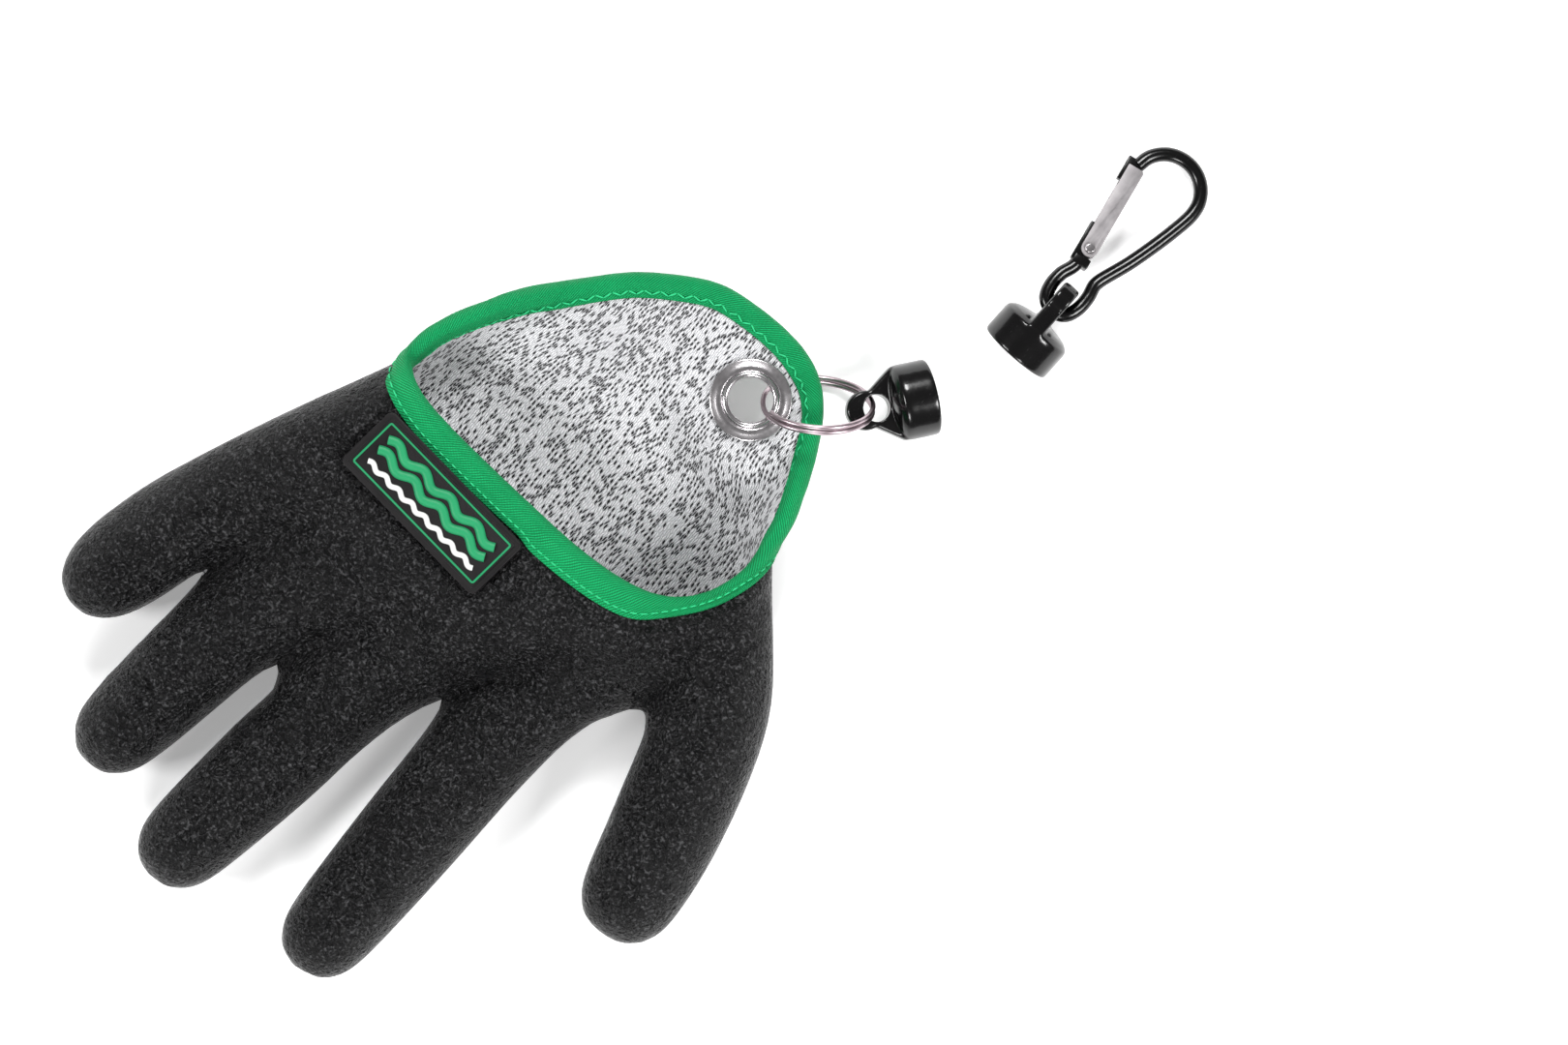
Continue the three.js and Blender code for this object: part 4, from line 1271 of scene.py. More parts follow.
@dataclass
class Binding:
    """Woven tape folded over the rim: an outer leg, a puffed roll and an inner leg, both sewn."""

    stations: int = 440
    outer_leg: float = 5.4 * MM
    patch_leg: float = 6.9 * MM
    front_leg: float = 8.0 * MM
    thumb_leg: float = 3.4 * MM
    inner_leg: float = 5.6 * MM
    narrow_leg: float = 3.6 * MM
    tape: float = 0.85 * MM
    fit: float = 0.12 * MM
    roll: float = 2.3 * MM
    puff: float = 0.75 * MM
    stitch_inset: float = 1.5 * MM
    stitch_pitch: float = 2.3 * MM
    thread: float = 0.24 * MM
    turn_in: float = 0.6 * MM
    dip: float = 0.42 * MM
    search: float = 2.5 * MM
    hem: float = 0.05 * MM
    zigzag: float = 0.55 * MM
    seam_rise: float = 0.02 * MM
    rounds: int = 8
    narrow_along: Ramp = Ramp(-12.0 * MM, 14.0 * MM)
    narrow_across: Ramp = Ramp(20.0 * MM, 20.0 * MM)
    near_rim: Ramp = Ramp(11.0 * MM, 13.0 * MM)
    past_patch: Ramp = Ramp(-5.0 * MM, 5.0 * MM)
    past_front: Ramp = Ramp(26.0 * MM, 20.0 * MM)
    thumb_across: Ramp = Ramp(28.0 * MM, 14.0 * MM)
    thumb_along: Ramp = Ramp(-27.0 * MM, 9.0 * MM)
    coat_tree: BVHTree | None = field(init=False, default=None)
    liner_tree: BVHTree | None = field(init=False, default=None)
    line: list[RimStation] = field(init=False, default_factory=list)

    def leg_width(self, station: RimStation, inner: bool) -> float:
        """Width of a leg at a station: the inner one narrows down the thumb's side.

        Args:
            station: The place on the rim.
            inner: Whether it is on the liner's side.

        Returns:
            The width in metres.
        """
        x, y = station.point.x, station.point.y
        if inner:
            narrow = self.narrow_across.at(x) * self.narrow_along.at(y)
            return mix(self.inner_leg, self.narrow_leg, narrow)
        right = self.past_patch.at(x) - self.past_front.at(x)
        thumb = self.thumb_across.at(x) * self.thumb_along.at(y)
        front = mix(self.patch_leg, self.front_leg, right)
        return mix(mix(self.outer_leg, front, self.near_rim.at(-y)), self.thumb_leg, thumb)

    def on_wall(self, station: RimStation, inner: bool, reach: float, height: float) -> Vector:
        """A point above the wall, a given way in from the rim.

        Args:
            station: The place on the rim.
            inner: Whether it is on the liner's side.
            reach: Way in from the rim, in metres.
            height: Height above the wall's face, in metres.

        Returns:
            The point.
        """
        side = -1.0 if inner else 1.0
        guess = station.point + station.inward * reach + station.outward * (side * HALF_WALL)
        tree = self.liner_tree if inner else self.coat_tree
        found, normal, _, distance = tree.find_nearest(guess)
        facing = station.outward * side
        if distance > self.search or normal.dot(facing) < 0.2:
            return guess + facing * height
        return found + (normal + facing).normalized() * height

    def contour(self, station: RimStation, wave: float) -> list[Vector]:
        """The closed section of the tape at a station.

        Args:
            station: The place on the rim.
            wave: The tape's waviness there, from -1 to 1.

        Returns:
            The section's points in order.
        """
        legs = {}
        for inner in (False, True):
            width = self.leg_width(station, inner)
            stitch = 1.0 - self.stitch_inset / width
            upper = []
            for share in (1.0, 0.88, 0.70, 0.52, 0.34, 0.18):
                dip = math.exp(-((share - stitch) / 0.10) ** 2)
                rise = self.puff * math.sin(math.pi * min(1.0, share / stitch))
                rise -= self.dip * dip * (1.0 + 0.3 * wave)
                edge = self.tape * (0.55 if share == 1.0 else 1.0)
                reach = self.turn_in + share * (width - self.turn_in)
                upper.append(self.on_wall(station, inner, reach, self.fit + edge + rise))
            lower = [
                self.on_wall(station, inner, reach, self.fit)
                for reach in (self.turn_in, 0.5 * width, width + self.hem)
            ]
            legs[inner] = (upper, lower)
        outside, inside = legs[False], legs[True]
        a, b = outside[0][-1], inside[0][-1]
        centre, half = (a + b) * 0.5, (a - b) * 0.5
        reach = self.roll + self.turn_in + 0.04 * MM * wave
        roll = []
        for step in range(1, 12):
            angle = math.pi * step / 12
            swell = 1.0 + 0.10 * math.sin(angle) ** 2
            across = half * (math.cos(angle) * swell)
            roll.append(centre + across - station.inward * (reach * math.sin(angle) ** 0.8))
        return [*outside[0], *roll, *reversed(inside[0]), *reversed(inside[1]), *outside[1]]

    def build(self, coat: Object, liner: Object) -> Object:
        """Sweeps the tape's section round the rim, hugging the coat and the liner.

        Args:
            coat: The dressed coat.
            liner: The dressed liner.

        Returns:
            The mesh object.
        """
        self.coat_tree = wall_tree(coat)
        self.liner_tree = wall_tree(liner)
        self.line = rim_line(self.stations)
        rings = [
            self.contour(station, math.sin(2.0 * math.pi * k / 9.0))
            for k, station in enumerate(self.line)
        ]
        rings = self.evened(rings)
        count = len(rings[0])
        faces = []
        for k in range(self.stations):
            here, there = k * count, (k + 1) % self.stations * count
            for i in range(count):
                j = (i + 1) % count
                faces.append((here + i, here + j, there + j, there + i))
        binding = mesh_object("binding", [p for ring in rings for p in ring], faces)
        self.map_tape(binding, rings)
        mend_normals(binding, 1e-8)
        return smooth_by_angle(binding, 60.0)

    def evened(self, rings: list[list[Vector]]) -> list[list[Vector]]:
        """Eases every contour point along the rim.

        Args:
            rings: The tape's sections, one for each station.

        Returns:
            The eased sections.
        """
        for _ in range(self.rounds):
            rings = [
                [(a + b * 2.0 + c) / 4.0 for a, b, c in zip(before, ring, after)]
                for before, ring, after in zip(rings[-1:] + rings[:-1], rings, rings[1:] + rings[:1])
            ]
        return rings

    def lengths(self) -> list[float]:
        """The way along the rim up to each station, and all the way round at the end.

        Returns:
            The ways in metres.
        """
        along = [0.0]
        for k, station in enumerate(self.line):
            along.append(along[-1] + (self.line[(k + 1) % self.stations].point - station.point).length)
        return along

    def map_tape(self, binding: Object, rings: list[list[Vector]]) -> None:
        """Maps the tape: along the rim and across its own section, in metres.

        Args:
            binding: The tape's mesh object.
            rings: The tape's sections, one for each station.
        """
        size, count = len(rings), len(rings[0])
        along = self.lengths()
        across = [0.0]
        for i in range(count):
            across.append(across[-1] + (rings[0][(i + 1) % count] - rings[0][i]).length)
        layer = binding.data.uv_layers.new(name="surface")
        for polygon in binding.data.polygons:
            k, i = divmod(polygon.index, count)
            here, there = k * count, (k + 1) % size * count
            j = (i + 1) % count
            corners = {
                here + i: (along[k], across[i]),
                here + j: (along[k], across[i + 1]),
                there + j: (along[k + 1], across[i + 1]),
                there + i: (along[k + 1], across[i]),
            }
            for index in polygon.loop_indices:
                layer.data[index].uv = corners[binding.data.loops[index].vertex_index]

    def stitches(self) -> list[Object]:
        """Sews both legs: a straight seam outside and a zigzag inside.

        Returns:
            The two seams.
        """
        spacing = self.stitch_pitch / (self.lengths()[-1] / self.stations)
        seams = []
        for inner, name, share, swing in (
            (False, "outer_seam", 0.72, 0.0),
            (True, "inner_seam", 1.0, self.zigzag),
        ):
            parts = []
            for k in range(int(self.stations / spacing)):
                start = k * spacing
                side = swing if k % 2 else -swing
                end = start + spacing * share
                parts.append((self.on_seam(start, inner, -side), self.on_seam(end, inner, side)))
            seams.append(self.sewn(parts, name))
        return seams

    def on_seam(self, station: float, inner: bool, swing: float) -> SeamPoint:
        """A point of the seam on the tape's top, with the tape's facing there.

        Args:
            station: The place, in stations.
            inner: Whether it is on the liner's side.
            swing: Way aside from the seam, in metres.

        Returns:
            The point and the tape's facing there.
        """
        share = station % 1.0
        low = self.line[int(station) % self.stations]
        high = self.line[(int(station) + 1) % self.stations]
        mid = RimStation(
            low.point.lerp(high.point, share),
            low.outward.lerp(high.outward, share).normalized(),
            low.inward.lerp(high.inward, share).normalized(),
        )
        reach = self.leg_width(mid, inner) - self.stitch_inset + swing
        height = self.fit + self.tape + self.seam_rise
        facing = mid.outward * (-1.0 if inner else 1.0)
        return self.on_wall(mid, inner, reach, height), facing

    def sewn(self, parts: list[tuple[SeamPoint, SeamPoint]], name: str) -> Object:
        """Lays one short arched thread for each stitch and joins them.

        Args:
            parts: Both ends of each stitch.
            name: Name of the seam.

        Returns:
            The seam.
        """
        sides = 6
        profile = (
            (0.0, 0.25, -0.5), (0.12, 0.9, 0.25), (0.5, 1.0, 0.7), (0.88, 0.9, 0.25), (1.0, 0.25, -0.5)
        )
        points, faces = [], []
        for (a, facing_a), (b, facing_b) in parts:
            facing = (facing_a + facing_b).normalized()
            run = b - a
            aside = run.cross(facing).normalized()
            base = len(points)
            for share, girth, lift in profile:
                centre = a + run * share + facing * (self.thread * lift)
                for s in range(sides):
                    angle = 2.0 * math.pi * s / sides
                    spoke = aside * math.cos(angle) + facing * math.sin(angle)
                    points.append(centre + spoke * self.thread * girth)
            for ring in range(len(profile) - 1):
                for s in range(sides):
                    p = base + ring * sides + s
                    q = base + ring * sides + (s + 1) % sides
                    faces.append((p, q, q + sides, p + sides))
            faces.append(tuple(base + s for s in reversed(range(sides))))
            faces.append(tuple(base + (len(profile) - 1) * sides + s for s in range(sides)))
        seam = mesh_object(name, points, faces)
        return smooth_by_angle(mend_normals(seam, 1e-8), 80.0)

    def dress(self, coat: Object, liner: Object, finishes: Finishes) -> None:
        """Builds and dresses the tape and its seams.

        Args:
            coat: The dressed coat.
            liner: The dressed liner.
            finishes: Every finish of the glove.
        """
        hand_over(self.build(coat, liner), finishes.tape, Body.GLOVE, "woven_tape", "rim_binding")
        for seam in self.stitches():
            hand_over(seam, finishes.green_thread, Body.GLOVE, "woven_tape")


# Patch


@dataclass(frozen=True)
class Wave:
    """One raised wave of the patch: its middle across the patch, and its own sizes in metres."""

    name: str
    height: float
    swing: float
    radius: float
    length: float
    reach: float


@dataclass
class Patch:
    """The moulded patch at the near rim: a bevelled plate with a framed, bare relief of waves."""

    length: float = 50.6 * MM
    width: float = 19.2 * MM
    thickness: float = 2.5 * MM
    corner: float = 1.8 * MM
    border: float = 1.5 * MM
    recess: float = 0.45 * MM
    line: float = 0.30 * MM
    line_inset: float = 2.5 * MM
    centre: Vector = Vector((-27.879 * MM, -39.526 * MM, 31.565 * MM))
    turn: float = math.radians(-4.0)
    slope: float = math.atan(0.075)
    crests: tuple[Wave, ...] = (
        Wave("crest_a", 3.55 * MM, 1.0 * MM, 1.3 * MM, 10.0 * MM, 20.2 * MM),
        Wave("crest_b", -0.15 * MM, 1.0 * MM, 1.3 * MM, 10.0 * MM, 20.2 * MM),
    )
    ripple: Wave = Wave("patch_ripple", -4.3 * MM, 0.5 * MM, 0.75 * MM, 5.0 * MM, 20.0 * MM)

    def placement(self) -> Matrix:
        """The patch's place on the glove."""
        turning = Matrix.Rotation(self.turn, 4, "Z") @ Matrix.Rotation(-self.slope, 4, "Y")
        return Matrix.Translation(self.centre) @ turning

    def plate(self) -> Object:
        """The plate: a rounded slab with a sunken field.

        Returns:
            The mesh object, flat at the origin.
        """
        deselect_all()
        bpy.ops.mesh.primitive_cube_add(size=1.0, location=(0, 0, self.thickness / 2))
        plate = name_piece(bpy.context.view_layer.objects.active, "patch_plate")
        plate.scale = (self.length, self.width, self.thickness)
        settle(plate)
        edit_all(plate)
        bpy.ops.mesh.select_all(action="DESELECT")
        shape = bmesh.from_edit_mesh(plate.data)
        for edge in shape.edges:
            if abs(edge.verts[0].co.z - edge.verts[1].co.z) > 0.5 * self.thickness:
                edge.select_set(True)
        bmesh.update_edit_mesh(plate.data)
        bpy.ops.mesh.bevel(offset=self.corner, segments=5, affect="EDGES")
        self.select_top(plate)
        bpy.ops.mesh.inset(thickness=self.border)
        bpy.ops.mesh.extrude_region_move(TRANSFORM_OT_translate={"value": (0, 0, -self.recess)})
        close_edit()
        bevel(plate, 0.28 * MM, 3, 25.0)
        return smooth_by_angle(plate, 40.0)

    def select_top(self, plate: Object) -> None:
        """Selects the plate's upper face in edit mode.

        Args:
            plate: The plate's mesh object.
        """
        bpy.ops.mesh.select_all(action="DESELECT")
        shape = bmesh.from_edit_mesh(plate.data)
        for face in shape.faces:
            if face.normal.z > 0.9 and face.calc_center_median().z > 0.9 * self.thickness:
                face.select_set(True)
        bmesh.update_edit_mesh(plate.data)

    def flattened(self, piece: Object, share: float) -> Object:
        """Flattens a relief line and lays it on the field.

        Args:
            piece: The mesh object.
            share: What is left of its height.

        Returns:
            The same object.
        """
        piece.data.transform(Matrix.Diagonal((1.0, 1.0, share, 1.0)))
        piece.data.transform(Matrix.Translation((0, 0, self.thickness - self.recess)))
        return piece

    def frame_line(self) -> Object:
        """The thin raised line that frames the field.

        Returns:
            The mesh object, flat at the origin.
        """
        x, y = self.length / 2 - self.line_inset, self.width / 2 - self.line_inset
        radius = 0.5 * MM
        points = []
        for k, (sx, sy) in enumerate(((-1, -1), (1, -1), (1, 1), (-1, 1))):
            start = 180 + 90 * k
            corner = (sx * (x - radius), sy * (y - radius))
            points += [Vector((*place, 0.0)) for place in arc(corner, radius, start, start + 90, 4)]
        return self.flattened(tube("patch_frame", points, self.line, 8, closed=True), 1.1)

    def wave(self, shape: Wave) -> Object:
        """One raised wave along the patch.

        Args:
            shape: Its name and sizes.

        Returns:
            The mesh object.
        """
        steps = 96
        points = []
        for k in range(steps + 1):
            x = mix(-shape.reach, shape.reach, k / steps)
            y = shape.height + shape.swing * math.sin(2.0 * math.pi * x / shape.length)
            points.append(Vector((x, y, 0.0)))
        return self.flattened(tube(shape.name, points, shape.radius, 12), 0.62)

    def dress(self, finishes: Finishes) -> None:
        """Builds and dresses the patch.

        Args:
            finishes: Every finish of the glove.
        """
        green = joined([self.frame_line(), *map(self.wave, self.crests)], "patch_relief")
        white = self.wave(self.ripple)
        for piece, finish, *nodes in (
            (self.plate(), finishes.patch, "label_patch"),
            (green, finishes.patch_green),
            (white, finishes.patch_white),
        ):
            settle(piece, self.placement())
            hand_over(piece, finish, Body.GLOVE, "soft_patch", *nodes)


# Eyelet and ring


@dataclass
class Eyelet:
    """The eyelet: a domed flange with a rolled lip, its barrel and the washer under the flap."""

    hole: float = 6.05 * MM
    barrel: float = 6.65 * MM
    rim: float = 11.15 * MM
    seat: float = 13.243 * MM
    wall: float = 2.6 * MM
    bottom: float = -2.05 * MM

    def profile(self) -> list[Pair]:
        """The flange and barrel as one closed profile.

        Returns:
            Radius and height of each corner.
        """
        top = self.wall + 0.3 * MM
        lip = (self.hole + 0.85 * MM, top + 1.25 * MM)
        points = [(self.hole, self.bottom + 0.9 * MM)]
        points += arc((self.hole + 0.95 * MM, self.bottom + 0.9 * MM), 0.95 * MM, 180, 270, 5)[1:]
        points += [
            (self.barrel + 1.5 * MM, self.bottom + 0.05 * MM),
            (self.barrel + 1.6 * MM, self.bottom + 0.5 * MM),
            (self.barrel + 0.5 * MM, self.bottom + 0.6 * MM),
            (self.barrel, self.bottom + 1.1 * MM),
            (self.barrel, top),
            (self.rim - 0.5 * MM, top),
        ]
        points += arc((self.rim - 0.35 * MM, top + 0.35 * MM), 0.35 * MM, -90, 90, 5)
        points += [
            (self.rim - 0.9 * MM, top + 0.74 * MM),
            (self.rim - 1.7 * MM, top + 1.08 * MM),
            (self.rim - 2.5 * MM, top + 1.26 * MM),
            (self.rim - 3.1 * MM, top + 1.22 * MM),
            (lip[0] + 0.85 * MM, top + 1.02 * MM),
        ]
        points += arc(lip, 0.80 * MM, 5, 180, 10)
        return points

    def dress(self, finishes: Finishes) -> None:
        """Builds and dresses the eyelet.

        Args:
            finishes: Every finish of the glove.
        """
        low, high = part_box("eyelet_flange")
        centre = (Vector(low) + Vector(high)) * 0.5
        flange = turned("eyelet", self.profile(), 96)
        settle(flange, Matrix.Translation((centre.x, centre.y, self.seat)))
        hand_over(flange, finishes.steel, Body.GLOVE, "polished_steel", "eyelet_flange")
        inner, outer = self.barrel + 0.3 * MM, self.rim - 1.2 * MM
        washer = turned("washer", [
            (inner, -1.05 * MM), (inner + 0.2 * MM, -1.1 * MM), (outer - 0.3 * MM, -1.1 * MM),
            (outer, -0.85 * MM), (outer, -0.45 * MM), (outer - 0.25 * MM, -0.3 * MM),
            (inner + 0.2 * MM, -0.3 * MM), (inner, -0.4 * MM),
        ], 72)
        settle(washer, Matrix.Translation((centre.x, centre.y, self.seat)))
        hand_over(washer, finishes.steel, Body.GLOVE, "polished_steel", "eyelet_washer")


@dataclass
class SplitRing:
    """The split ring: two turns of wire side by side, crossing in the eyelet's hole."""

    radius: float = 14.8 * MM
    wire: float = 1.4 * MM
    pitch: float = 1.50 * MM
    end_gap: float = math.pi / 5.5
    crossing: float = math.pi / 7.0
    centre: Vector = Vector((31.056 * MM, 48.331 * MM, 14.543 * MM))
    lean: float = math.radians(62.0)
    heading: float = math.radians(37.5)

    def line(self) -> list[Vector]:
        """The wire's middle line in the ring's own plane.

        Returns:
            The line's points.
        """
        points = []
        steps = 220
        for k in range(steps + 1):
            angle = mix(self.end_gap, 4.0 * math.pi - self.end_gap, k / steps)
            shift = eased((angle - 2.0 * math.pi + self.crossing) / (2.0 * self.crossing))
            height = self.pitch * (shift - 0.5)
            x, y = -self.radius * math.cos(angle), self.radius * math.sin(angle)
            points.append(Vector((x, y, height)))
        return points

    def dress(self, finishes: Finishes) -> None:
        """Builds and dresses the ring.

        Args:
            finishes: Every finish of the glove.
        """
        ring = tube("ring", self.line(), self.wire / 2, 14)
        bevel(ring, 0.18 * MM, 2, 60.0)
        turning = Matrix.Rotation(self.heading, 4, "Z") @ Matrix.Rotation(-self.lean, 4, "X")
        settle(ring, Matrix.Translation(self.centre) @ turning)
        smooth_by_angle(ring, 50.0)
        hand_over(ring, finishes.nickel, Body.GLOVE, "nickel_wire", "split_ring")


# Magnetic clip


@dataclass(frozen=True)
class ClipPlace:
    """Where one clip half lies: its facing in plan and its roll, in radians."""

    name: str
    node: str
    place: Vector
    heading: float
    roll: float


@dataclass
class MagneticClip:
    """The magnetic clip: two like halves, each a cup that flows into a flat, drilled blade."""

    diameter: float = 20.8 * MM
    length: float = 24.0 * MM
    base: float = 9.3 * MM
    eye: float = 5.4 * MM
    blade: float = 4.9 * MM
    hole: float = 3.7 * MM
    hole_from_face: float = 15.7 * MM
    tilt: float = math.radians(10.0)
    grain: float = 0.30 * MM
    places: tuple[ClipPlace, ...] = (
        ClipPlace(
            "near_clip", "clip_near", Vector((52.327 * MM, 70.456 * MM, 10.34 * MM)),
            math.radians(54.0), 0.0,
        ),
        ClipPlace(
            "far_clip", "clip_far", Vector((61.284 * MM, 94.023 * MM, 10.34 * MM)),
            math.radians(-90.0), math.radians(90.0),
        ),
    )

    def cup(self) -> Object:
        """The round cup with its hollow face and flowing back.

        Returns:
            The mesh object.
        """
        radius = self.diameter / 2
        profile = [
            (0.0, -11.5 * MM), (4.4 * MM, -11.4 * MM), (6.6 * MM, -11.0 * MM), (8.6 * MM, -10.4 * MM),
            (radius - 0.3 * MM, -self.base), (radius - 0.05 * MM, -8.2 * MM),
            (radius, -4.0 * MM), (radius, -0.5 * MM), (radius - 0.4 * MM, 0.0),
            (radius - 1.6 * MM, 0.0), (radius - 1.8 * MM, -0.7 * MM), (0.0, -0.7 * MM),
        ]
        cup = turned("clip_cup", profile, 72)
        cup.data.transform(Matrix.Rotation(math.pi / 2, 4, "Y"))
        return cup

    def blade_plate(self) -> Object:
        """The flat blade, from the cup's shoulders to its round end.

        Returns:
            The mesh object.
        """
        radius = self.diameter / 2 - 0.25 * MM
        centre = -(self.length - self.eye)
        outline = [(-self.base + 2.0 * MM, -radius), (-self.base - 0.3 * MM, -radius)]
        outline += arc((centre, 0.0), self.eye, 290, 70, 18)
        outline += [(-self.base - 0.3 * MM, radius), (-self.base + 2.0 * MM, radius)]
        corners = [Vector((x, y, -self.blade / 2)) for x, y in outline]
        plate = mesh_object("clip_blade", corners, [range(len(outline))])
        edit_all(plate)
        bpy.ops.mesh.extrude_region_move(TRANSFORM_OT_translate={"value": (0, 0, self.blade)})
        bpy.ops.mesh.select_all(action="SELECT")
        bpy.ops.mesh.normals_make_consistent(inside=False)
        close_edit()
        return bevel(plate, 0.8 * MM, 4, 50.0)

    def remeshed(self, piece: Object, rounds: int) -> Object:
        """Melts a piece into one skin and eases its edges.

        Args:
            piece: The mesh object.
            rounds: Rounds of easing.

        Returns:
            The same object.
        """
        melt = piece.modifiers.new("Melt", "REMESH")
        melt.mode = "VOXEL"
        melt.voxel_size = self.grain
        ease = piece.modifiers.new("Ease", "SMOOTH")
        ease.factor = 0.5
        ease.iterations = rounds
        return apply_modifiers(piece)

    def half(self) -> Object:
        """Makes one half with its magnet face at the origin.

        Returns:
            The mesh object.
        """
        body = self.remeshed(joined([self.cup(), self.blade_plate()], "clip_half"), 9)
        deselect_all()
        bpy.ops.mesh.primitive_cylinder_add(
            vertices=48, radius=self.hole, depth=self.diameter, location=(-self.hole_from_face, 0, 0)
        )
        drill = bpy.context.view_layer.objects.active
        cut = body.modifiers.new("Hole", "BOOLEAN")
        cut.operation = "DIFFERENCE"
        cut.object = drill
        cut.solver = "EXACT"
        apply_modifiers(body)
        bpy.data.objects.remove(drill)
        self.remeshed(body, 2)
        return smooth_by_angle(body, 180.0)

    def magnet(self) -> Object:
        """The magnet's plate, just behind the cup's face.

        Returns:
            The mesh object.
        """
        profile = [
            (0.0, -0.9 * MM), (8.3 * MM, -0.9 * MM), (8.3 * MM, -0.45 * MM),
            (8.1 * MM, -0.3 * MM), (0.0, -0.3 * MM),
        ]
        magnet = turned("clip_magnet", profile, 64)
        magnet.data.transform(Matrix.Rotation(math.pi / 2, 4, "Y"))
        return magnet

    def placement(self, spot: ClipPlace) -> Matrix:
        """A half's place in the frame."""
        turning = Matrix.Rotation(spot.heading, 4, "Z") @ Matrix.Rotation(self.tilt, 4, "Y")
        return Matrix.Translation(spot.place) @ turning @ Matrix.Rotation(spot.roll, 4, "X")

    def dress(self, finishes: Finishes) -> None:
        """Models a half once, then copies and dresses it in both places.

        Args:
            finishes: Every finish of the glove.
        """
        half, magnet = self.half(), self.magnet()
        for spot in self.places:
            body = settle(copied(half, spot.name), self.placement(spot))
            hand_over(body, finishes.clip, Body.GLOVE, "gloss_black", spot.node)
            plate = settle(copied(magnet, spot.name + "_magnet"), self.placement(spot))
            hand_over(plate, finishes.magnet, Body.GLOVE, "polished_steel")
        for master in (half, magnet):
            bpy.data.objects.remove(master)


# Carabiner


def between(a: Vector, b: Vector, start: float, end: float, at: float) -> Vector:
    """The point at a time on a straight way that leaves a at start and meets b at end."""
    return a * ((end - at) / (end - start)) + b * ((at - start) / (end - start))


def flowing_line(points: Sequence[Vector], steps: int = 10) -> list[Vector]:
    """A smooth line through points, without overshoot at the tight ones.

    Args:
        points: The points, in order.
        steps: Pieces between two points.

    Returns:
        The line.
    """
    ends = [points[0] * 2 - points[1], *points, points[-1] * 2 - points[-2]]
    result = []
    for k in range(1, len(ends) - 2):
        p = ends[k - 1 : k + 3]
        t = [0.0]
        for a, b in zip(p, p[1:]):
            t.append(t[-1] + max(1e-9, (b - a).length) ** 0.5)
        for step in range(steps):
            at = mix(t[1], t[2], step / steps)
            first = [between(p[i], p[i + 1], t[i], t[i + 1], at) for i in range(3)]
            second = [between(first[i], first[i + 1], t[i], t[i + 2], at) for i in range(2)]
            result.append(between(*second, t[1], t[2], at))
    return [*result, points[-1]]


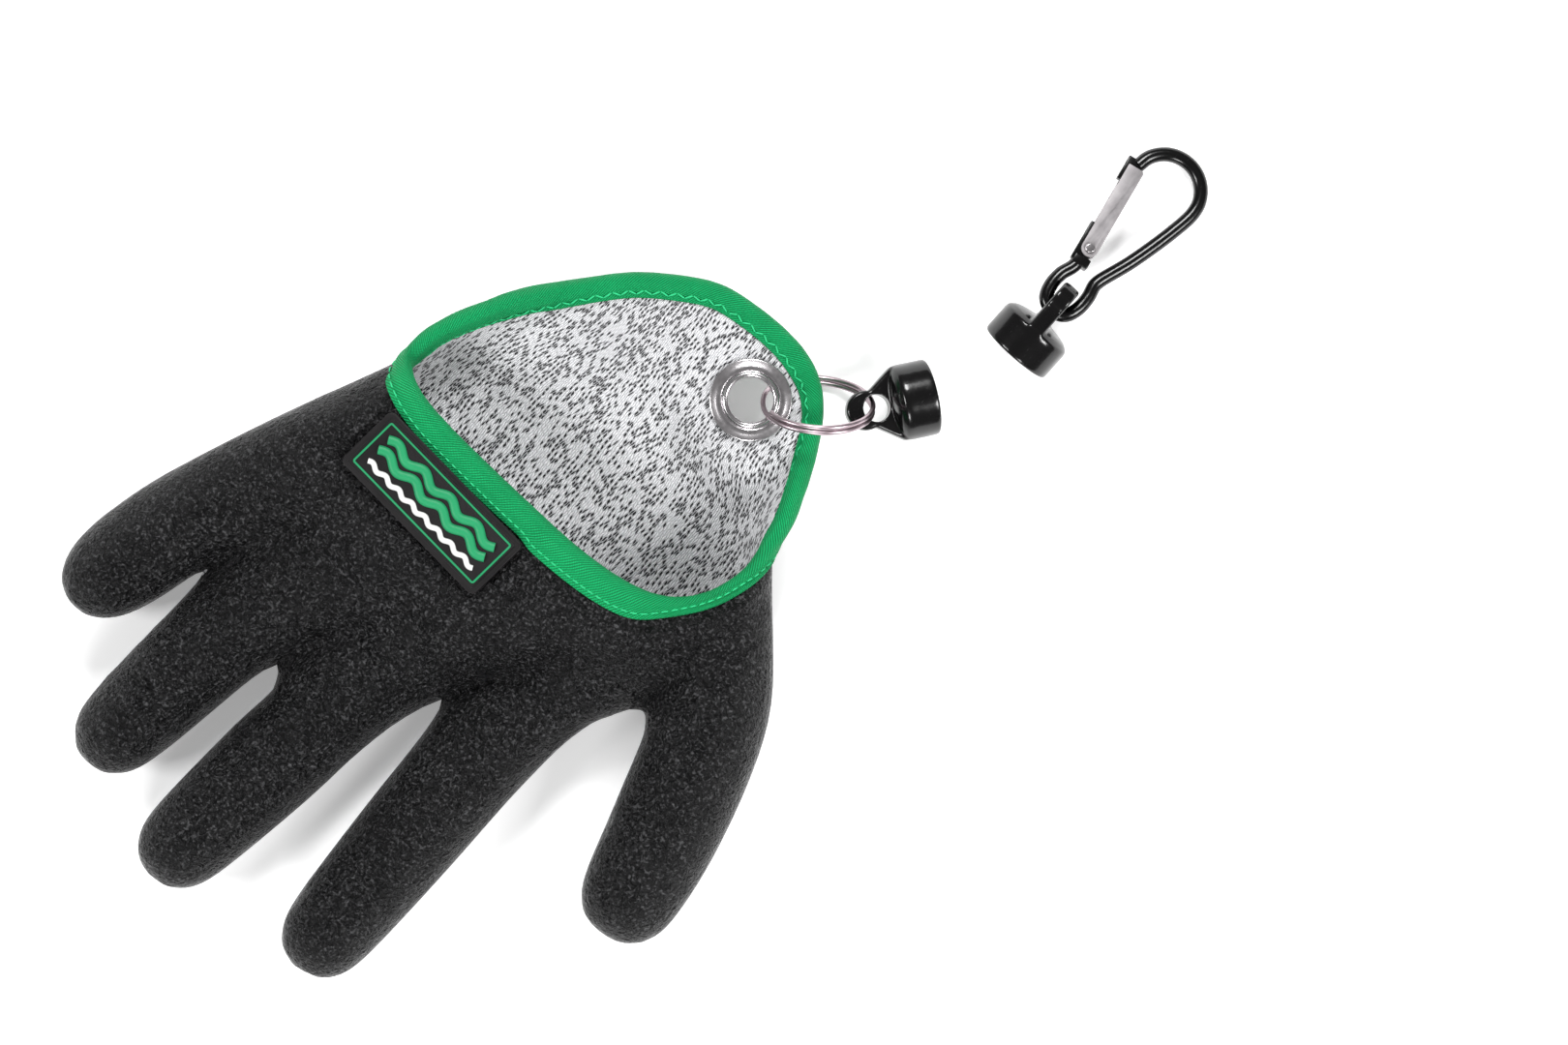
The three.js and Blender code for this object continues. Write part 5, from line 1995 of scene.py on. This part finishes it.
@dataclass
class Carabiner:
    """The small carabiner: an enamelled rod with a kinked neck and loop, and a sprung gate."""

    rod: float = 3.9 * MM
    length: float = 59.5 * MM
    width: float = 23.6 * MM
    tongue: float = 2.6 * MM
    gate_half: float = 2.35 * MM
    arc_shift: float = 1.2 * MM
    neck_height: float = 12.85 * MM
    loop_half: float = 4.85 * MM
    place: Vector = Vector((61.284 * MM, 109.287 * MM, 11.617 * MM))
    slope: float = math.asin(0.17386)

    @property
    def spread(self) -> float:
        """Radius of the large arc's middle line."""
        return self.width / 2 - self.rod / 2

    @property
    def arc_centre(self) -> Vector:
        """The middle of the large arc."""
        return Vector((self.arc_shift, self.length - self.rod - self.spread, 0.0))

    @property
    def nose(self) -> Vector:
        """Where the gate meets the large arc."""
        return Vector((self.arc_centre.x - self.spread, self.arc_centre.y, 0.0))

    @property
    def hinge(self) -> Vector:
        """The gate's hinge."""
        return Vector((-0.36 * self.spread, self.neck_height + 6.4 * MM, 0.0))

    def line(self) -> list[Vector]:
        """The rod's middle line, from the nose round the large arc and the loop to the hinge.

        Returns:
            The line's points.
        """
        points = []
        for k in range(9):
            angle = math.pi * (1.0 - k / 8.0)
            turn = Vector((math.cos(angle), math.sin(angle), 0.0))
            points.append(self.arc_centre + turn * self.spread)
        neck = self.rod / 2 + 1.4 * MM
        centre, high, low = self.arc_centre.x, self.arc_centre.y, self.neck_height
        side, foot = self.loop_half, low - 3.6 * MM
        points += [Vector((x, y, 0.0)) for x, y in (
            (centre + 0.93 * self.spread, mix(low, high, 0.8)),
            (centre + 0.62 * self.spread, mix(low, high, 0.36)),
            (neck + 0.9 * MM, low + 1.8 * MM),
            (neck + 0.7 * MM, low),
            (side, foot),
            (side, side),
        )]
        for k in range(1, 4):
            angle = -math.pi * k / 4.0
            turn = Vector((math.cos(angle), math.sin(angle), 0.0))
            points.append(Vector((0, side, 0)) + turn * side)
        points += [Vector((x, y, 0.0)) for x, y in (
            (-side, side), (-side, foot), (-neck - 0.4 * MM, low),
        )]
        points.append(self.hinge - Vector((0, 3.4 * MM, 0)))
        return flowing_line(points)

    def placement(self) -> Matrix:
        """The carabiner's place in the frame."""
        return Matrix.Translation(self.place) @ Matrix.Rotation(-self.slope, 4, "X")

    def gate_line(self) -> Matrix:
        """The gate's own frame: from the hinge to the nose."""
        run = self.nose - self.hinge
        return Matrix.Translation(self.hinge) @ Matrix.Rotation(math.atan2(run.y, run.x), 4, "Z")

    def block(self, run: Pair, side: Pair, height: float, name: str) -> Object:
        """One bevelled block of the rod, in the gate's own frame.

        Args:
            run: Start and end along the gate, from the hinge.
            side: Start and end across the gate.
            height: Height of the block.
            name: Name of the piece.

        Returns:
            The block.
        """
        deselect_all()
        centre = ((run[0] + run[1]) / 2, (side[0] + side[1]) / 2, 0)
        bpy.ops.mesh.primitive_cube_add(size=1.0, location=centre)
        block = name_piece(bpy.context.view_layer.objects.active, name)
        block.scale = (run[1] - run[0], side[1] - side[0], height)
        settle(block)
        bevel(block, 0.3 * MM, 3)
        block.data.transform(self.gate_line())
        return smooth_by_angle(block, 40.0)

    def build_frame(self) -> Object:
        """The bent rod with its two flattened ends.

        Returns:
            The mesh object in its own place.
        """
        rod = tube("carabiner", self.line(), self.rod / 2, 24)
        bevel(rod, 0.45 * MM, 3, 60.0)
        reach = (self.nose - self.hinge).length
        across = (-self.tongue / 2, self.gate_half + 1.0 * MM)
        lower = self.block((-4.4 * MM, 7.2 * MM), across, self.tongue, "lower_tongue")
        upper = self.block((reach - 6.0 * MM, reach + 1.2 * MM), across, self.tongue, "upper_tongue")
        collar = self.block((-5.4 * MM, -2.75 * MM), (-2.1 * MM, 2.6 * MM), 4.0 * MM, "hinge_collar")
        return smooth_by_angle(joined([rod, lower, upper, collar], "carabiner"), 50.0)

    def dress(self, finishes: Finishes) -> None:
        """Builds and dresses the carabiner, its gate and rivet.

        Args:
            finishes: Every finish of the glove.
        """
        rod = settle(self.build_frame(), self.placement())
        hand_over(rod, finishes.enamel, Body.GLOVE, "black_enamel", "carabiner_frame")
        for node, name, width, edge, angle, finish, slot in (
            ("carabiner_gate", "gate", 0.22 * MM, 40.0, 35.0, finishes.aluminium, "bare_aluminium"),
            ("gate_rivet", "rivet", 0.12 * MM, 35.0, 40.0, finishes.steel, "polished_steel"),
        ):
            piece = bevel(merged_copy(node, name, quads=False, flats=True), width, 3, edge)
            hand_over(smooth_by_angle(piece, angle), finish, Body.GATE, slot, node)


# Studio


@dataclass(frozen=True)
class Lamp:
    """One soft square light: its place and side in metres, and its power in watts."""

    name: str
    place: Triple
    size: float
    power: float


@dataclass
class Studio:
    """A pale floor, soft lights and a camera that looks straight down."""

    aim: Vector = Vector((45.22 * MM, 18.69 * MM, 15.0 * MM))
    turn: float = math.atan2(0.664, 0.747)
    height: float = 1.6
    width: float = 421.0 * MM
    floor_glow: float = 0.30
    world_light: float = 0.20
    lamps: tuple[Lamp, ...] = (
        Lamp("key", (-0.70, 0.85, 1.15), 0.42, 18.0),
        Lamp("side", (0.95, 0.35, 0.95), 0.40, 13.0),
        Lamp("low", (-0.75, -0.85, 1.0), 0.42, 12.0),
        Lamp("far", (0.65, -0.95, 1.0), 0.42, 11.0),
    )

    def floor(self) -> None:
        """Lays the floor."""
        deselect_all()
        bpy.ops.mesh.primitive_plane_add(size=6.0, location=(0, 0, -0.3 * MM))
        floor = name_piece(bpy.context.view_layer.objects.active, "floor")
        tree = ShaderTree("floor_paper")
        tree.set(Base_Color=(0.93, 0.93, 0.93), Roughness=0.85, Specular_IOR_Level=0.15)
        tree.set(Emission_Color=(1.0, 1.0, 1.0), Emission_Strength=self.floor_glow)
        floor.data.materials.append(tree.material)

    def light(self, lamp: Lamp) -> None:
        """Hangs one soft square light that faces the glove.

        Args:
            lamp: The light's name, place, size and power.
        """
        source = bpy.data.lights.new(lamp.name, "AREA")
        source.shape = "SQUARE"
        source.size = lamp.size
        source.energy = lamp.power
        holder = bpy.data.objects.new(lamp.name, source)
        holder.location = lamp.place
        holder.rotation_euler = Vector(lamp.place).to_track_quat("Z", "Y").to_euler()
        bpy.context.scene.collection.objects.link(holder)

    def world(self) -> None:
        """Fills the room with even white light."""
        world = bpy.data.worlds.new("studio")
        world.use_nodes = True
        background = world.node_tree.nodes["Background"]
        background.inputs["Color"].default_value = (1.0, 1.0, 1.0, 1.0)
        background.inputs["Strength"].default_value = self.world_light
        bpy.context.scene.world = world

    def camera(self) -> None:
        """Sets the camera over the glove, turned as in the photograph."""
        lens = bpy.data.cameras.new("camera")
        lens.sensor_width = 36.0
        lens.lens = lens.sensor_width * (self.height - self.aim.z) / self.width
        lens.clip_end = 20.0
        camera = bpy.data.objects.new("camera", lens)
        camera.location = (self.aim.x, self.aim.y, self.height)
        camera.rotation_euler = (0.0, 0.0, self.turn)
        bpy.context.scene.collection.objects.link(camera)
        bpy.context.scene.camera = camera

    def build(self) -> None:
        """Sets up the whole studio."""
        bpy.context.scene.view_settings.view_transform = "Standard"
        self.floor()
        self.world()
        for lamp in self.lamps:
            self.light(lamp)
        self.camera()


def main() -> None:
    """Builds the studio and every piece of the glove."""
    logging.basicConfig(level=logging.INFO, format="%(name)s: %(message)s")
    Studio().build()
    finishes = Finishes()
    coat = Coat().dress(finishes)
    liner = Liner().dress(finishes)
    Binding().dress(coat, liner, finishes)
    Patch().dress(finishes)
    Eyelet().dress(finishes)
    SplitRing().dress(finishes)
    MagneticClip().dress(finishes)
    Carabiner().dress(finishes)


if __name__ == "__main__":
    main()
